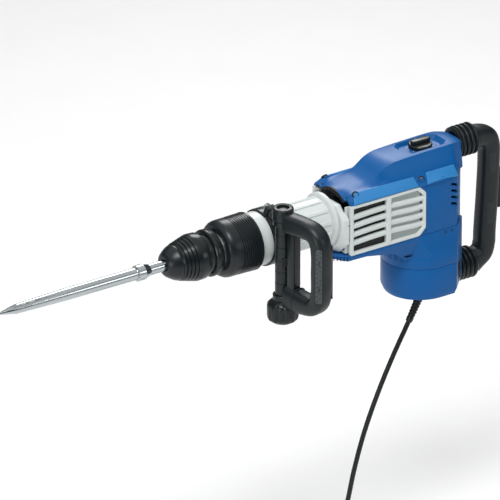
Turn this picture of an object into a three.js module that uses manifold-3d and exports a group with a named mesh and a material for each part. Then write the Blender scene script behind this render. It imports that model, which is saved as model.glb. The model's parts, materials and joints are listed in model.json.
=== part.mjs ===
// Demolition hammer with a vertical motor, a front bow handle and a damped rear D-handle.
// Millimetres, +Z up. The tool axis is the X axis with the chisel towards -X.
// The origin is where the tool axis crosses the rear grip.
import * as THREE from 'three';
import { mergeVertices } from 'three/addons/utils/BufferGeometryUtils.js';
import Module from 'manifold-3d';

const wasm = await Module();
wasm.setup();

// ---------- Driving dimensions ----------
const SEAT_GAP = 0.3; // between pieces that touch
const SLIDE_GAP = 0.4; // radial room round pieces that slide or turn
const WALL = 4; // plastic and cast walls

// Body, from the rear forwards
const HANDLE_REACH = 74; // grip axis to the body's rear wall
const SIDE_PANEL_LENGTH = 88; // body's rear wall to the vent covers
const VENT_LENGTH = 146;
const GEAR_NOSE_LENGTH = 15; // cast front of the gear housing
const BARREL_LENGTH = 97; // gear housing to the clamp seat
const CLAMP_WIDTH = 22;
const NECK_LENGTH = 22;
const RUBBER_LENGTH = 61;
const RING_LENGTH = 16;
const SLEEVE_GROOVE = 9; // room behind the locking sleeve
const SLEEVE_LENGTH = 47;
const NOSE_LENGTH = 20;
const BODY_HALF_WIDTH = 52;
const REAR_CORNER = 25; // plan chamfer of the body's rear corners
const VENT_DEPTH = 8; // thickness of the vent covers

// Heights
const PANEL_TOP = 35; // side panel and vent cover top edge
const PANEL_BOTTOM = -50;
const HOOD_TOP = 80;
const HOOD_TOP_HALF_WIDTH = 28;
const HOOD_LIP = 45; // top of the hood's front lip
const MOTOR_CAP_TOP = -110;
const MOTOR_CAP_BOTTOM = -168;

// Chuck and tool
const CHISEL_LENGTH = 400;
const SHANK_RADIUS = 9;
const SHANK_LENGTH = 120; // collar to the shank's end
const CHISEL_RADIUS = 9.75;
const CHISEL_COLLAR_RADIUS = SHANK_RADIUS + 3.8;
const CHISEL_COLLAR_LENGTH = 22;
const FLUTE_LENGTH = 126;
const TOOL_HOLDER_WALL = 6;
const TOOL_HOLDER_RADIUS = SHANK_RADIUS + TOOL_HOLDER_WALL;
const CARRIER_RADIUS = 30;
const SLEEVE_RADIUS = 37.8;
const RING_RADIUS = 38;
const RUBBER_RADIUS = 46.7;
const NECK_RADIUS = 42;
const CLAMP_SEAT_RADIUS = 40;
const BARREL_RADIUS = 37;
const BARREL_FLANGE_RADIUS = 44;

// Hammer mechanism
const TUBE_OUTER_RADIUS = 27;
const PISTON_RADIUS = 19.6;
const RAM_LENGTH = 42;
const PISTON_LENGTH = 60;
const WRIST_PIN_RADIUS = 5;
const ROD_LENGTH = 112;
const CRANK_THROW = 18;
const CRANK_PIN_RADIUS = 5.5;
const CASTING_WALL = 3;
const CORE_HALF_WIDTH = BODY_HALF_WIDTH - VENT_DEPTH - SEAT_GAP; // gear casting between the vent covers
const GEAR_ROOM = 3.2; // tooth tips to the casting's inner walls
const GEAR_TEETH = 32;
const PINION_TEETH = 8;
const TOOTH_RISE = 1; // beyond the pitch circle
const TOOTH_FALL = 2.4;
const GEAR_PITCH_RADIUS = CORE_HALF_WIDTH - CASTING_WALL - GEAR_ROOM - TOOTH_RISE;
const PINION_PITCH_RADIUS = (GEAR_PITCH_RADIUS * PINION_TEETH) / GEAR_TEETH;
const GEAR_THICKNESS = 12;
const CRANK_SHAFT_RADIUS = 8;

// Motor
const STATOR_RADIUS = 50;
const MOTOR_AIR_ROOM = 7; // cooling air round the stator
const MOTOR_RADIUS = STATOR_RADIUS + MOTOR_AIR_ROOM + WALL;
const MOTOR_SETBACK = MOTOR_RADIUS + 3; // motor axis ahead of the body's rear wall
const MOTOR_SHAFT_RADIUS = 5;
const ARMATURE_RADIUS = 28;
const COMMUTATOR_RADIUS = 15;
const BEARING_WIDTH = 8;

// Front handle
const POST_RADIUS = 12.5;
const POST_ROOM = 7.5; // clamp seat to the post's side
const POST_OFFSET = CLAMP_SEAT_RADIUS + POST_ROOM + POST_RADIUS; // post axis beside the tool axis
const POST_TOP = 44;
const POST_BOTTOM = -73;
const POST_CAP_RADIUS = POST_RADIUS + 4.5;
const POST_CAP_HEIGHT = 20;
const KNOB_RADIUS = 25;
const KNOB_HEIGHT = 38;
const BOW_TURN = -80; // degrees, direction in which the bow points
const BOW_REACH = 84; // post axis to grip axis
const BOW_GRIP_RADIUS = 16.5;
const BOW_TOP = 56; // centre line of the top arm
const BOW_BOTTOM = -78;

// Rear handle
const UPPER_ARM_Z = 66;
const LOWER_ARM_Z = -148;
const GRIP_WIDTH = 34; // across
const GRIP_DEPTH = 40; // front to back
const BELLOWS_RADIUS = 26;
const BELLOWS_LENGTH = 38;
const BELLOWS_RIBS = 4;
const GRIP_LEAN = 6; // the grip's lower end is this far ahead of its upper end

// Controls and cord
const DIAL_RADIUS = 19;
const DIAL_SETBACK = 63; // dial axis ahead of the body's rear wall
const CORD_RADIUS = 4;
const BOOT_SETBACK = 53; // cord exit ahead of the body's rear wall
const BOOT_LENGTH = 62;
const BOOT_LEAN = 29; // degrees, forwards from straight down
const FLOOR = -605; // where the slack cord lies
const COIL_RING_RADIUS = 46;
const COIL_HALF_WIDTH = 19.5; // four turns side by side, with room where they change places
const COIL_HEIGHT = 25; // three layers of turns
const PLUG_RADIUS = 19;
const PLUG_LENGTH = 46;
const PLUG_PIN_RADIUS = 2.4;
const PIN_REACH = 19;
const PIN_SPACING = 19;

// ---------- Stations along the tool axis ----------
const X_REAR = -HANDLE_REACH;
const X_PANEL_FRONT = X_REAR - SIDE_PANEL_LENGTH;
const X_VENT_FRONT = X_PANEL_FRONT - VENT_LENGTH;
const X_GEAR_FRONT = X_VENT_FRONT - GEAR_NOSE_LENGTH;
const BARREL_STEP = 4; // barrel to the clamp seat
const X_CLAMP_REAR = X_GEAR_FRONT - BARREL_LENGTH - BARREL_STEP;
const X_CLAMP_FRONT = X_CLAMP_REAR - CLAMP_WIDTH;
const X_LIP = X_CLAMP_FRONT - NECK_LENGTH;
const X_RUBBER_FRONT = X_LIP - RUBBER_LENGTH;
const X_RING_REAR = X_RUBBER_FRONT - 5;
const X_RING_FRONT = X_RING_REAR - RING_LENGTH;
const X_SLEEVE_REAR = X_RING_FRONT - SLEEVE_GROOVE;
const X_SLEEVE_FRONT = X_SLEEVE_REAR - SLEEVE_LENGTH;
const X_NOSE = X_SLEEVE_FRONT - NOSE_LENGTH - SEAT_GAP;
const SHANK_DEPTH = 90; // shank inside the chuck
const X_SHANK_END = X_NOSE + SHANK_DEPTH;
const X_TIP = X_SHANK_END - CHISEL_LENGTH;
const X_MOTOR = X_REAR - MOTOR_SETBACK;
const X_CRANK = X_MOTOR - GEAR_PITCH_RADIUS - PINION_PITCH_RADIUS;
const X_WRIST = X_CRANK - CRANK_THROW - ROD_LENGTH;
const WRIST_INSET = 10; // wrist pin to the piston's rear edge
const X_PISTON_FRONT = X_WRIST - PISTON_LENGTH + WRIST_INSET;
const X_TUBE_REAR = X_WRIST + 30;
const X_TUBE_FRONT = X_SHANK_END + 54;
const X_POST = X_CLAMP_FRONT + 3;
const Z_CASTING_FLOOR = PANEL_BOTTOM + 3;
const Z_GEAR = Z_CASTING_FLOOR + 7;
const Z_CRANK_DISC = Z_GEAR + GEAR_THICKNESS;
const ROD_HALF_THICKNESS = 5;
const Z_BRIDGE = PANEL_BOTTOM - BEARING_WIDTH;

// ---------- Shape helpers ----------
const deg = THREE.MathUtils.degToRad;
const AXIS_X = new THREE.Matrix4().makeRotationZ(-Math.PI / 2); // lathe axis Y laid along X
const AXIS_Z = new THREE.Matrix4().makeRotationX(Math.PI / 2); // lathe axis Y stood along Z
const SIDEWAYS = new THREE.Matrix4().makeRotationX(Math.PI / 2); // outline (x, z), depth to -Y
const LENGTHWAYS = new THREE.Matrix4().makeBasis(
  new THREE.Vector3(0, 1, 0),
  new THREE.Vector3(0, 0, 1),
  new THREE.Vector3(1, 0, 0),
); // outline (y, z), depth to +X

// A manifold solid from a closed geometry, with its faces turned outwards.
function solid(geometry, ...matrices) {
  const plain = geometry.clone();
  plain.deleteAttribute('normal');
  plain.deleteAttribute('uv');
  for (const matrix of matrices) plain.applyMatrix4(matrix);
  const merged = mergeVertices(plain, 1e-3);
  const source = merged.index.array;
  const points = merged.attributes.position;
  const corners = [0, 1, 2].map(() => new THREE.Vector3());
  const kept = [];
  let volume = 0;
  for (let i = 0; i < source.length; i += 3) {
    const triangle = [source[i], source[i + 1], source[i + 2]];
    if (new Set(triangle).size < 3) continue;
    kept.push(triangle);
    triangle.forEach((index, k) => corners[k].fromBufferAttribute(points, index));
    volume += corners[0].dot(corners[1].clone().cross(corners[2]));
  }
  const outward = volume < 0 ? kept.map(([a, b, c]) => [a, c, b]) : kept;
  const mesh = new wasm.Mesh({
    numProp: 3,
    vertProperties: new Float32Array(points.array),
    triVerts: new Uint32Array(outward.flat()),
  });
  return new wasm.Manifold(mesh);
}

const unite = (first, ...others) => others.reduce((whole, other) => whole.add(other), first);
const cut = (first, ...others) => others.reduce((whole, other) => whole.subtract(other), first);
const moved = (x, y, z) => new THREE.Matrix4().makeTranslation(x, y, z);
const turned = (axis, degrees) => new THREE.Matrix4().makeRotationAxis(axis, deg(degrees));
const UNIT_X = new THREE.Vector3(1, 0, 0);
const UNIT_Y = new THREE.Vector3(0, 1, 0);
const UNIT_Z = new THREE.Vector3(0, 0, 1);

// A turned solid. The profile holds [axial, radius] pairs and is closed if it stays off the axis.
function lathe(profile, segments, ...matrices) {
  const points = profile.map(([axial, radius]) => new THREE.Vector2(radius, axial));
  if (profile[0][1] > 0) points.push(points[0].clone());
  return solid(new THREE.LatheGeometry(points, segments), ...matrices);
}

// A rod or a ring between two stations on the X axis or the Z axis.
function rod(start, end, radius, segments, ...matrices) {
  return lathe([[start, 0], [start, radius], [end, radius], [end, 0]], segments, ...matrices);
}

function ring(start, end, inner, outer, segments, ...matrices) {
  const profile = [[start, inner], [start, outer], [end, outer], [end, inner]];
  return lathe(profile, segments, ...matrices);
}

function outline(points) {
  return new THREE.Shape(points.map(([a, b]) => new THREE.Vector2(a, b)));
}

// An outline given depth, with its long edges rounded off by a bevel.
function slab(shape, depth, bevel, bevelSegments, ...matrices) {
  const options = { depth: depth - 2 * bevel, curveSegments: 8, bevelEnabled: bevel > 0 };
  if (bevel > 0) {
    options.bevelThickness = bevel;
    options.bevelSize = bevel;
    options.bevelOffset = -bevel;
    options.bevelSegments = bevelSegments;
  }
  return solid(new THREE.ExtrudeGeometry(shape, options), moved(0, 0, bevel), ...matrices);
}

// Side outline (x, z) between y0 and y1.
function sideSlab(points, y0, y1, bevel = 0, bevelSegments = 2) {
  return slab(outline(points), y1 - y0, bevel, bevelSegments, SIDEWAYS, moved(0, y1, 0));
}

// Cross outline (y, z) between x0 and x1.
function crossSlab(points, x0, x1, bevel = 0, bevelSegments = 2) {
  return slab(outline(points), x1 - x0, bevel, bevelSegments, LENGTHWAYS, moved(x0, 0, 0));
}

// Plan outline (x, y) between z0 and z1.
function planSlab(shape, z0, z1, bevel = 0, bevelSegments = 2) {
  return slab(shape, z1 - z0, bevel, bevelSegments, moved(0, 0, z0));
}

function box(x0, x1, y0, y1, z0, z1, ...matrices) {
  const geometry = new THREE.BoxGeometry(x1 - x0, y1 - y0, z1 - z0);
  return solid(geometry, moved((x0 + x1) / 2, (y0 + y1) / 2, (z0 + z1) / 2), ...matrices);
}

function roundedRectangle(halfWidth, halfHeight, radius) {
  const shape = new THREE.Shape();
  shape.moveTo(halfWidth, -halfHeight + radius);
  shape.absarc(halfWidth - radius, halfHeight - radius, radius, 0, Math.PI / 2);
  shape.absarc(-halfWidth + radius, halfHeight - radius, radius, Math.PI / 2, Math.PI);
  shape.absarc(-halfWidth + radius, -halfHeight + radius, radius, Math.PI, 1.5 * Math.PI);
  shape.absarc(halfWidth - radius, -halfHeight + radius, radius, 1.5 * Math.PI, 2 * Math.PI);
  return shape;
}

// A section swept along a smooth curve through the points.
function sweep(points, shape, steps, curveSegments = 3, ...matrices) {
  const knots = points.map((point) => new THREE.Vector3(...point));
  const path = new THREE.CatmullRomCurve3(knots, false, 'centripetal');
  const options = { steps, curveSegments, bevelEnabled: false, extrudePath: path };
  return solid(new THREE.ExtrudeGeometry(shape, options), ...matrices);
}

function circle(radius) {
  return new THREE.Shape().absarc(0, 0, radius, 0, 2 * Math.PI);
}

// A toothed disc outline about the origin, turned by a share of one tooth.
function gearOutline(teeth, tip, root, turn) {
  const points = [];
  for (let i = 0; i < teeth; i += 1) {
    const steps = [[0.12, root], [0.3, tip], [0.5, tip], [0.68, root]];
    for (const [share, radius] of steps) {
      const angle = ((i + share + turn) / teeth) * 2 * Math.PI;
      points.push([radius * Math.cos(angle), radius * Math.sin(angle)]);
    }
  }
  return outline(points);
}

// ---------- Materials and nodes ----------
const LOOKS = {
  bluePlastic: [0x0b5cab, 0.38, 0],
  silverPaint: [0xd9dcda, 0.45, 0.25],
  blackPlastic: [0x1d2022, 0.5, 0],
  rubber: [0x17191a, 0.75, 0],
  brightSteel: [0xc9cdd0, 0.28, 1],
  darkSteel: [0x6f7478, 0.4, 1],
  aluminium: [0xb4b7b9, 0.45, 1],
  copper: [0xb87333, 0.35, 1],
  carbon: [0x2a2a2c, 0.7, 0],
  board: [0x2f5d3a, 0.6, 0],
};

const hammer = new THREE.Group();

function piece(name, look, body, parent = hammer) {
  const [color, roughness, metalness] = LOOKS[look];
  const { vertProperties, triVerts } = body.getMesh();
  const geometry = new THREE.BufferGeometry();
  geometry.setAttribute('position', new THREE.BufferAttribute(new Float32Array(vertProperties), 3));
  geometry.setIndex(new THREE.BufferAttribute(new Uint32Array(triVerts), 1));
  geometry.computeVertexNormals();
  const material = new THREE.MeshStandardMaterial({ color, roughness, metalness });
  const mesh = new THREE.Mesh(geometry, material);
  mesh.name = name;
  parent.add(mesh);
  return mesh;
}

// ---------- Chisel ----------
function chiselBody() {
  const collarFront = X_SHANK_END - SHANK_LENGTH - CHISEL_COLLAR_LENGTH;
  const collarRear = collarFront + CHISEL_COLLAR_LENGTH;
  const profile = [
    [X_TIP, 0],
    [X_TIP, 1.2],
    [X_TIP + 34, 7.6],
    [X_TIP + FLUTE_LENGTH, CHISEL_RADIUS],
    [collarFront - 6, CHISEL_RADIUS],
    [collarFront, CHISEL_COLLAR_RADIUS],
    [collarRear - 2, CHISEL_COLLAR_RADIUS],
    [collarRear, SHANK_RADIUS],
    [X_SHANK_END, SHANK_RADIUS],
    [X_SHANK_END, 0],
  ];
  const fluteRadius = 8;
  const depthAtTip = 5;
  const lean = THREE.MathUtils.radToDeg(Math.atan(depthAtTip / FLUTE_LENGTH));
  const blank = lathe(profile, 24, AXIS_X);
  const flutes = [45, 135, 225, 315].map((angle) =>
    rod(-10, FLUTE_LENGTH + 10, fluteRadius, 14, AXIS_X,
      turned(UNIT_Y, -lean),
      moved(X_TIP, 0, CHISEL_RADIUS + fluteRadius - depthAtTip),
      turned(UNIT_X, angle)));
  const slotHalf = PIN_LENGTH / 2 + PIN_SLOT_MARGIN;
  const pinSlots = [-1, 1].map((side) =>
    box(X_PINS - slotHalf, X_PINS + slotHalf, -5, 5, side * SHANK_RADIUS - 3, side * SHANK_RADIUS + 3));
  return cut(blank, ...flutes, ...pinSlots);
}

// ---------- Chuck ----------
const PIN_RADIUS = 3.2;
const PIN_LENGTH = 20;
const SPRING_WIRE = 1.5;
const SPRING_MEAN_RADIUS = TOOL_HOLDER_RADIUS + 4;
const SPRING_SEAT_RADIUS = TOOL_HOLDER_RADIUS + 7;
const SLEEVE_BORE = TOOL_HOLDER_RADIUS + 9;
const SLEEVE_LIP = 8;
const CARRIER_OVERLAP = 12; // carrier end inside the rubber sleeve
const X_PINS = X_SHANK_END - 40; // middle of the locking pins
const PIN_SLOT_MARGIN = 8; // the chisel's play along its shank slots

function noseCapBody() {
  const bore = SHANK_RADIUS + 2 * SLIDE_GAP;
  const rear = X_SLEEVE_FRONT - SEAT_GAP;
  return lathe([
    [X_NOSE, bore],
    [X_NOSE, 17],
    [X_NOSE + 3, 20],
    [rear - 5, 27.5],
    [rear, 28.5],
    [rear, bore],
  ], 28, AXIS_X);
}

function lockingSleeveBody() {
  const lipBore = TOOL_HOLDER_RADIUS + SLIDE_GAP;
  const profile = [
    [X_SLEEVE_FRONT, lipBore],
    [X_SLEEVE_FRONT, 29.4],
  ];
  const grooves = 4;
  const pitch = 6.2;
  for (let i = 0; i < grooves; i += 1) {
    const start = X_SLEEVE_FRONT + 3 + i * pitch;
    const radius = 30.4 + i * 1.6;
    profile.push([start, radius], [start + 1.2, radius - 1.4], [start + 2.6, radius + 0.4]);
  }
  profile.push(
    [X_SLEEVE_REAR - 16, SLEEVE_RADIUS],
    [X_SLEEVE_REAR - 2, SLEEVE_RADIUS - 1],
    [X_SLEEVE_REAR, SLEEVE_RADIUS - 3],
    [X_SLEEVE_REAR, SLEEVE_BORE],
    [X_SLEEVE_FRONT + SLEEVE_LIP, SLEEVE_BORE],
    [X_SLEEVE_FRONT + SLEEVE_LIP, lipBore],
  );
  return lathe(profile, 28, AXIS_X);
}

function toolHolderBody() {
  const bore = SHANK_RADIUS + SLIDE_GAP;
  const seat = X_SLEEVE_REAR - 3;
  const rear = X_TUBE_FRONT - SEAT_GAP;
  const blank = lathe([
    [X_SLEEVE_FRONT + SEAT_GAP, bore],
    [X_SLEEVE_FRONT + SEAT_GAP, TOOL_HOLDER_RADIUS],
    [seat, TOOL_HOLDER_RADIUS],
    [seat, SPRING_SEAT_RADIUS],
    [seat + 4, SPRING_SEAT_RADIUS],
    [seat + 4, TOOL_HOLDER_RADIUS],
    [rear, TOOL_HOLDER_RADIUS],
    [rear, bore],
  ], 28, AXIS_X);
  const half = PIN_LENGTH / 2 + SLIDE_GAP;
  const window = PIN_RADIUS + SLIDE_GAP;
  return cut(blank, box(X_PINS - half, X_PINS + half, -window, window, -20, 20));
}

function lockingPinBody(side) {
  const height = SHANK_RADIUS + 0.7;
  return rod(X_PINS - PIN_LENGTH / 2, X_PINS + PIN_LENGTH / 2, PIN_RADIUS, 12, AXIS_X,
    moved(0, 0, side * height));
}

function sleeveSpringBody() {
  const start = X_SLEEVE_FRONT + SLEEVE_LIP + SPRING_WIRE + 0.5;
  const end = X_SLEEVE_REAR - 3 - SPRING_WIRE - 0.5;
  const turns = 4;
  const stepsPerTurn = 8;
  const points = [];
  for (let i = 0; i <= turns * stepsPerTurn; i += 1) {
    const angle = (i / stepsPerTurn) * 2 * Math.PI;
    const x = start + ((end - start) * i) / (turns * stepsPerTurn);
    points.push([x, SPRING_MEAN_RADIUS * Math.cos(angle), SPRING_MEAN_RADIUS * Math.sin(angle)]);
  }
  return sweep(points, circle(SPRING_WIRE), turns * stepsPerTurn, 3);
}

function carrierBody() {
  const start = X_SLEEVE_REAR + SLEEVE_GROOVE + SEAT_GAP;
  const end = X_RUBBER_FRONT + CARRIER_OVERLAP;
  return ring(start, end, TOOL_HOLDER_RADIUS + SEAT_GAP, CARRIER_RADIUS, 28, AXIS_X);
}

function adjustingRingBody() {
  return lathe([
    [X_RING_FRONT, CARRIER_RADIUS + SLIDE_GAP],
    [X_RING_FRONT, RING_RADIUS - 1.5],
    [X_RING_FRONT + 2, RING_RADIUS],
    [X_RING_REAR - 2, RING_RADIUS - 1.5],
    [X_RING_REAR, RING_RADIUS - 3],
    [X_RING_REAR, CARRIER_RADIUS + SLIDE_GAP],
  ], 28, AXIS_X);
}

const BARREL_FRONT_RADIUS = RUBBER_RADIUS - 8;

function rubberSleeveBody() {
  const innerFront = X_RUBBER_FRONT + 4;
  const bore = BARREL_FRONT_RADIUS + SEAT_GAP;
  return lathe([
    [X_RUBBER_FRONT, CARRIER_RADIUS + SEAT_GAP],
    [X_RUBBER_FRONT, RUBBER_RADIUS - 7],
    [X_RUBBER_FRONT + 3, RUBBER_RADIUS - 4.5],
    [X_RUBBER_FRONT + 8, RUBBER_RADIUS - 1.2],
    [X_RUBBER_FRONT + 38, RUBBER_RADIUS],
    [X_LIP - 3, RUBBER_RADIUS + 0.6],
    [X_LIP, RUBBER_RADIUS - 0.4],
    [X_LIP, bore],
    [innerFront, bore],
    [innerFront, CARRIER_RADIUS + SEAT_GAP],
  ], 28, AXIS_X);
}

// ---------- Barrel and hammer mechanism ----------
function barrelBody() {
  const bore = TUBE_OUTER_RADIUS + SEAT_GAP;
  const front = X_RUBBER_FRONT + CARRIER_OVERLAP + SEAT_GAP;
  const rear = X_GEAR_FRONT - SEAT_GAP;
  const blank = lathe([
    [front, bore],
    [front, BARREL_FRONT_RADIUS],
    [X_LIP + SEAT_GAP, BARREL_FRONT_RADIUS],
    [X_LIP + SEAT_GAP, NECK_RADIUS],
    [X_CLAMP_FRONT - 2, NECK_RADIUS + 1],
    [X_CLAMP_FRONT - SEAT_GAP, NECK_RADIUS],
    [X_CLAMP_FRONT - SEAT_GAP, CLAMP_SEAT_RADIUS],
    [X_CLAMP_REAR + 2, CLAMP_SEAT_RADIUS],
    [X_CLAMP_REAR + 3, BARREL_RADIUS],
    [rear - 12, BARREL_RADIUS],
    [rear - 7, BARREL_FLANGE_RADIUS],
    [rear, BARREL_FLANGE_RADIUS],
    [rear, bore],
  ], 28, AXIS_X);
  const ribCount = 12;
  const ribHeight = 2.2;
  const ribs = [];
  for (let i = 0; i < ribCount; i += 1) {
    const rib = box(X_CLAMP_REAR + 10, rear - 10, -3, 3, BARREL_RADIUS - 3, BARREL_RADIUS + ribHeight);
    const turn = turned(UNIT_X, (360 * (i + 0.5)) / ribCount);
    ribs.push(rib.transform(turn.elements));
  }
  const band = box(X_CLAMP_REAR + 16, rear - 14, -BARREL_RADIUS - 3, -BARREL_RADIUS + 8, -20, -6);
  return unite(blank, ...ribs, band);
}

function hammerTubeBody() {
  const bore = PISTON_RADIUS + SLIDE_GAP;
  return lathe([
    [X_TUBE_FRONT, SHANK_RADIUS + SLIDE_GAP],
    [X_TUBE_FRONT, TUBE_OUTER_RADIUS],
    [X_TUBE_REAR, TUBE_OUTER_RADIUS],
    [X_TUBE_REAR, bore],
    [X_TUBE_FRONT + 8, bore],
    [X_TUBE_FRONT + 8, SHANK_RADIUS + SLIDE_GAP],
  ], 28, AXIS_X);
}

const BEAT_TRAVEL = 6;

function beatPieceBody() {
  const head = X_TUBE_FRONT + 8 + BEAT_TRAVEL;
  return lathe([
    [X_SHANK_END + SEAT_GAP, 0],
    [X_SHANK_END + SEAT_GAP, SHANK_RADIUS],
    [head, SHANK_RADIUS],
    [head, 14],
    [head + 16, 14],
    [head + 16, 0],
  ], 24, AXIS_X);
}

const RAM_GAP = 26; // air cushion ahead of the drive piston

function ramBody() {
  const rear = X_PISTON_FRONT - RAM_GAP;
  return lathe([
    [rear - RAM_LENGTH, 0],
    [rear - RAM_LENGTH, 13],
    [rear - RAM_LENGTH + 8, PISTON_RADIUS],
    [rear, PISTON_RADIUS],
    [rear, 0],
  ], 28, AXIS_X);
}

function pistonBody() {
  const rear = X_PISTON_FRONT + PISTON_LENGTH;
  const blank = lathe([
    [X_PISTON_FRONT, 0],
    [X_PISTON_FRONT, PISTON_RADIUS],
    [rear, PISTON_RADIUS],
    [rear, 14],
    [X_PISTON_FRONT + 24, 14],
    [X_PISTON_FRONT + 24, 0],
  ], 28, AXIS_X);
  const bore = rod(-30, 30, WRIST_PIN_RADIUS + SEAT_GAP, 20, moved(X_WRIST, 0, 0));
  return cut(blank, bore);
}

function wristPinBody() {
  const half = PISTON_RADIUS - 1;
  return rod(-half, half, WRIST_PIN_RADIUS, 16, moved(X_WRIST, 0, 0));
}

function connectingRodBody() {
  const h = ROD_HALF_THICKNESS;
  const eyeX = X_WRIST + ROD_LENGTH;
  const smallEnd = rod(-6, 6, 9.5, 24, moved(X_WRIST, 0, 0));
  const bigEnd = rod(-h, h, 12, 18, AXIS_Z, moved(eyeX, 0, 0));
  const shank = box(X_WRIST, eyeX, -5, 5, -h, h);
  const pinBore = rod(-10, 10, WRIST_PIN_RADIUS + SEAT_GAP, 20, moved(X_WRIST, 0, 0));
  const eyeBore = rod(-10, 10, CRANK_PIN_RADIUS + 1, 16, AXIS_Z, moved(eyeX, 0, 0));
  return cut(unite(smallEnd, bigEnd, shank), pinBore, eyeBore);
}

function crankGearBody() {
  const pinTop = -ROD_HALF_THICKNESS - 1;
  const teeth = gearOutline(GEAR_TEETH, GEAR_PITCH_RADIUS + TOOTH_RISE, GEAR_PITCH_RADIUS - TOOTH_FALL, 0);
  const disc = planSlab(teeth, Z_GEAR, Z_CRANK_DISC);
  const web = rod(Z_CRANK_DISC - 2, pinTop - 4, CRANK_THROW + CRANK_PIN_RADIUS + 3.5, 22, AXIS_Z);
  const pin = rod(pinTop - 6, pinTop, CRANK_PIN_RADIUS, 16, AXIS_Z, moved(-CRANK_THROW, 0, 0));
  const shaft = rod(Z_BRIDGE - 4, Z_GEAR + 2, CRANK_SHAFT_RADIUS, 16, AXIS_Z);
  return unite(disc, web, pin, shaft);
}

function bearingBody(innerRadius, outerRadius, z) {
  const chamfer = 0.8;
  return lathe([
    [z, innerRadius],
    [z, outerRadius - chamfer],
    [z + chamfer, outerRadius],
    [z + BEARING_WIDTH - chamfer, outerRadius],
    [z + BEARING_WIDTH, outerRadius - chamfer],
    [z + BEARING_WIDTH, innerRadius],
  ], 18, AXIS_Z);
}

// ---------- Motor ----------
const CRANK_BEARING_RADIUS = 17;
const MOTOR_BEARING_RADIUS = 13;
const ARMATURE_TOP = PANEL_BOTTOM - 26;
const ARMATURE_BOTTOM = MOTOR_CAP_TOP - 14;
const COMMUTATOR_BOTTOM = MOTOR_CAP_BOTTOM + 24;
const SHAFT_BOTTOM = MOTOR_CAP_BOTTOM + WALL + 2;

// The motor bay widens from the body's width to the motor's between these heights.
const FLARE_TOP = PANEL_BOTTOM - 12;
const FLARE_HEIGHT = 28;
const FLARE_GROWTH = MOTOR_RADIUS - BODY_HALF_WIDTH;
const STATOR_ROOM = 1.5;
const STATOR_FLARE = STATOR_RADIUS + STATOR_ROOM + WALL - BODY_HALF_WIDTH; // growth that clears the stator
const FLARE_TO_STATOR = (FLARE_HEIGHT * STATOR_FLARE) / FLARE_GROWTH;
const STATOR_TOP = FLARE_TOP - FLARE_TO_STATOR - 4;

function armatureBody() {
  const profile = [
    [SHAFT_BOTTOM, 0],
    [SHAFT_BOTTOM, MOTOR_SHAFT_RADIUS],
    [COMMUTATOR_BOTTOM, MOTOR_SHAFT_RADIUS],
    [COMMUTATOR_BOTTOM, COMMUTATOR_RADIUS],
    [ARMATURE_BOTTOM - 6, COMMUTATOR_RADIUS],
    [ARMATURE_BOTTOM, 22],
    [ARMATURE_BOTTOM, ARMATURE_RADIUS],
    [ARMATURE_TOP, ARMATURE_RADIUS],
    [ARMATURE_TOP, MOTOR_SHAFT_RADIUS],
    [Z_GEAR + 2, MOTOR_SHAFT_RADIUS],
    [Z_GEAR + 2, 0],
  ];
  const core = lathe(profile, 18, AXIS_Z);
  const meshTurn = 0.6; // share of a tooth that sets a gap against the crank gear's tooth
  const tip = PINION_PITCH_RADIUS + TOOTH_RISE;
  const teeth = gearOutline(PINION_TEETH, tip, PINION_PITCH_RADIUS - TOOTH_FALL, meshTurn);
  const pinion = planSlab(teeth, Z_GEAR, Z_CRANK_DISC);
  return unite(core, pinion);
}

const FAN_BLADES = 7;

function fanBody() {
  const z = ARMATURE_TOP + 3;
  const hubRadius = 11;
  const fanRadius = BODY_HALF_WIDTH - WALL - 6;
  const hub = ring(z, z + 8, MOTOR_SHAFT_RADIUS + SEAT_GAP, hubRadius, 16, AXIS_Z);
  const plate = ring(z + 6, z + 8, hubRadius - 1, fanRadius, 22, AXIS_Z);
  const blades = [];
  for (let i = 0; i < FAN_BLADES; i += 1) {
    const blade = box(hubRadius - 0.5, fanRadius - 1, -1, 1, z, z + 7);
    blades.push(blade.transform(turned(UNIT_Z, (360 * i) / FAN_BLADES).elements));
  }
  return unite(hub, plate, ...blades);
}

function statorBody() {
  const bore = ARMATURE_RADIUS + 1;
  const blank = ring(ARMATURE_BOTTOM - 1, STATOR_TOP, bore, STATOR_RADIUS, 26, AXIS_Z);
  const slotCentre = (ARMATURE_RADIUS + STATOR_RADIUS) / 2 - 1;
  const slots = [-1, 1].map((side) =>
    box(-14, 14, side * slotCentre - 6, side * slotCentre + 6, ARMATURE_BOTTOM - 10, ARMATURE_TOP + 10));
  return cut(blank, ...slots);
}

function brushBody(side) {
  const z = (COMMUTATOR_BOTTOM + ARMATURE_BOTTOM - 6) / 2;
  const start = COMMUTATOR_RADIUS + SLIDE_GAP;
  const [y0, y1] = side < 0 ? [-start - 18, -start] : [start, start + 18];
  return box(-4, 4, y0, y1, z - 4, z + 4);
}

const BRIDGE_HALF_WIDTH = CORE_HALF_WIDTH - 1.7;
const BRIDGE_REACH = CRANK_BEARING_RADIUS + 7; // crank axis to the bridge's front edge

function bridgeBody() {
  const z0 = Z_BRIDGE;
  const z1 = PANEL_BOTTOM - SEAT_GAP;
  const half = BRIDGE_HALF_WIDTH;
  const plate = box(X_CRANK - BRIDGE_REACH, X_MOTOR + 30, -half, half, z0, z1);
  const crankBore = rod(z0 - 1, z1 + 1, CRANK_BEARING_RADIUS + SEAT_GAP, 22, AXIS_Z, moved(X_CRANK, 0, 0));
  const motorBore = rod(z0 - 1, z1 + 1, MOTOR_BEARING_RADIUS + SEAT_GAP, 22, AXIS_Z, moved(X_MOTOR, 0, 0));
  return cut(plate, crankBore, motorBore);
}

// ---------- Housings ----------
const CORE_TOP = PANEL_TOP - 3;
const X_CORE_REAR = X_MOTOR + 18;

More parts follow.
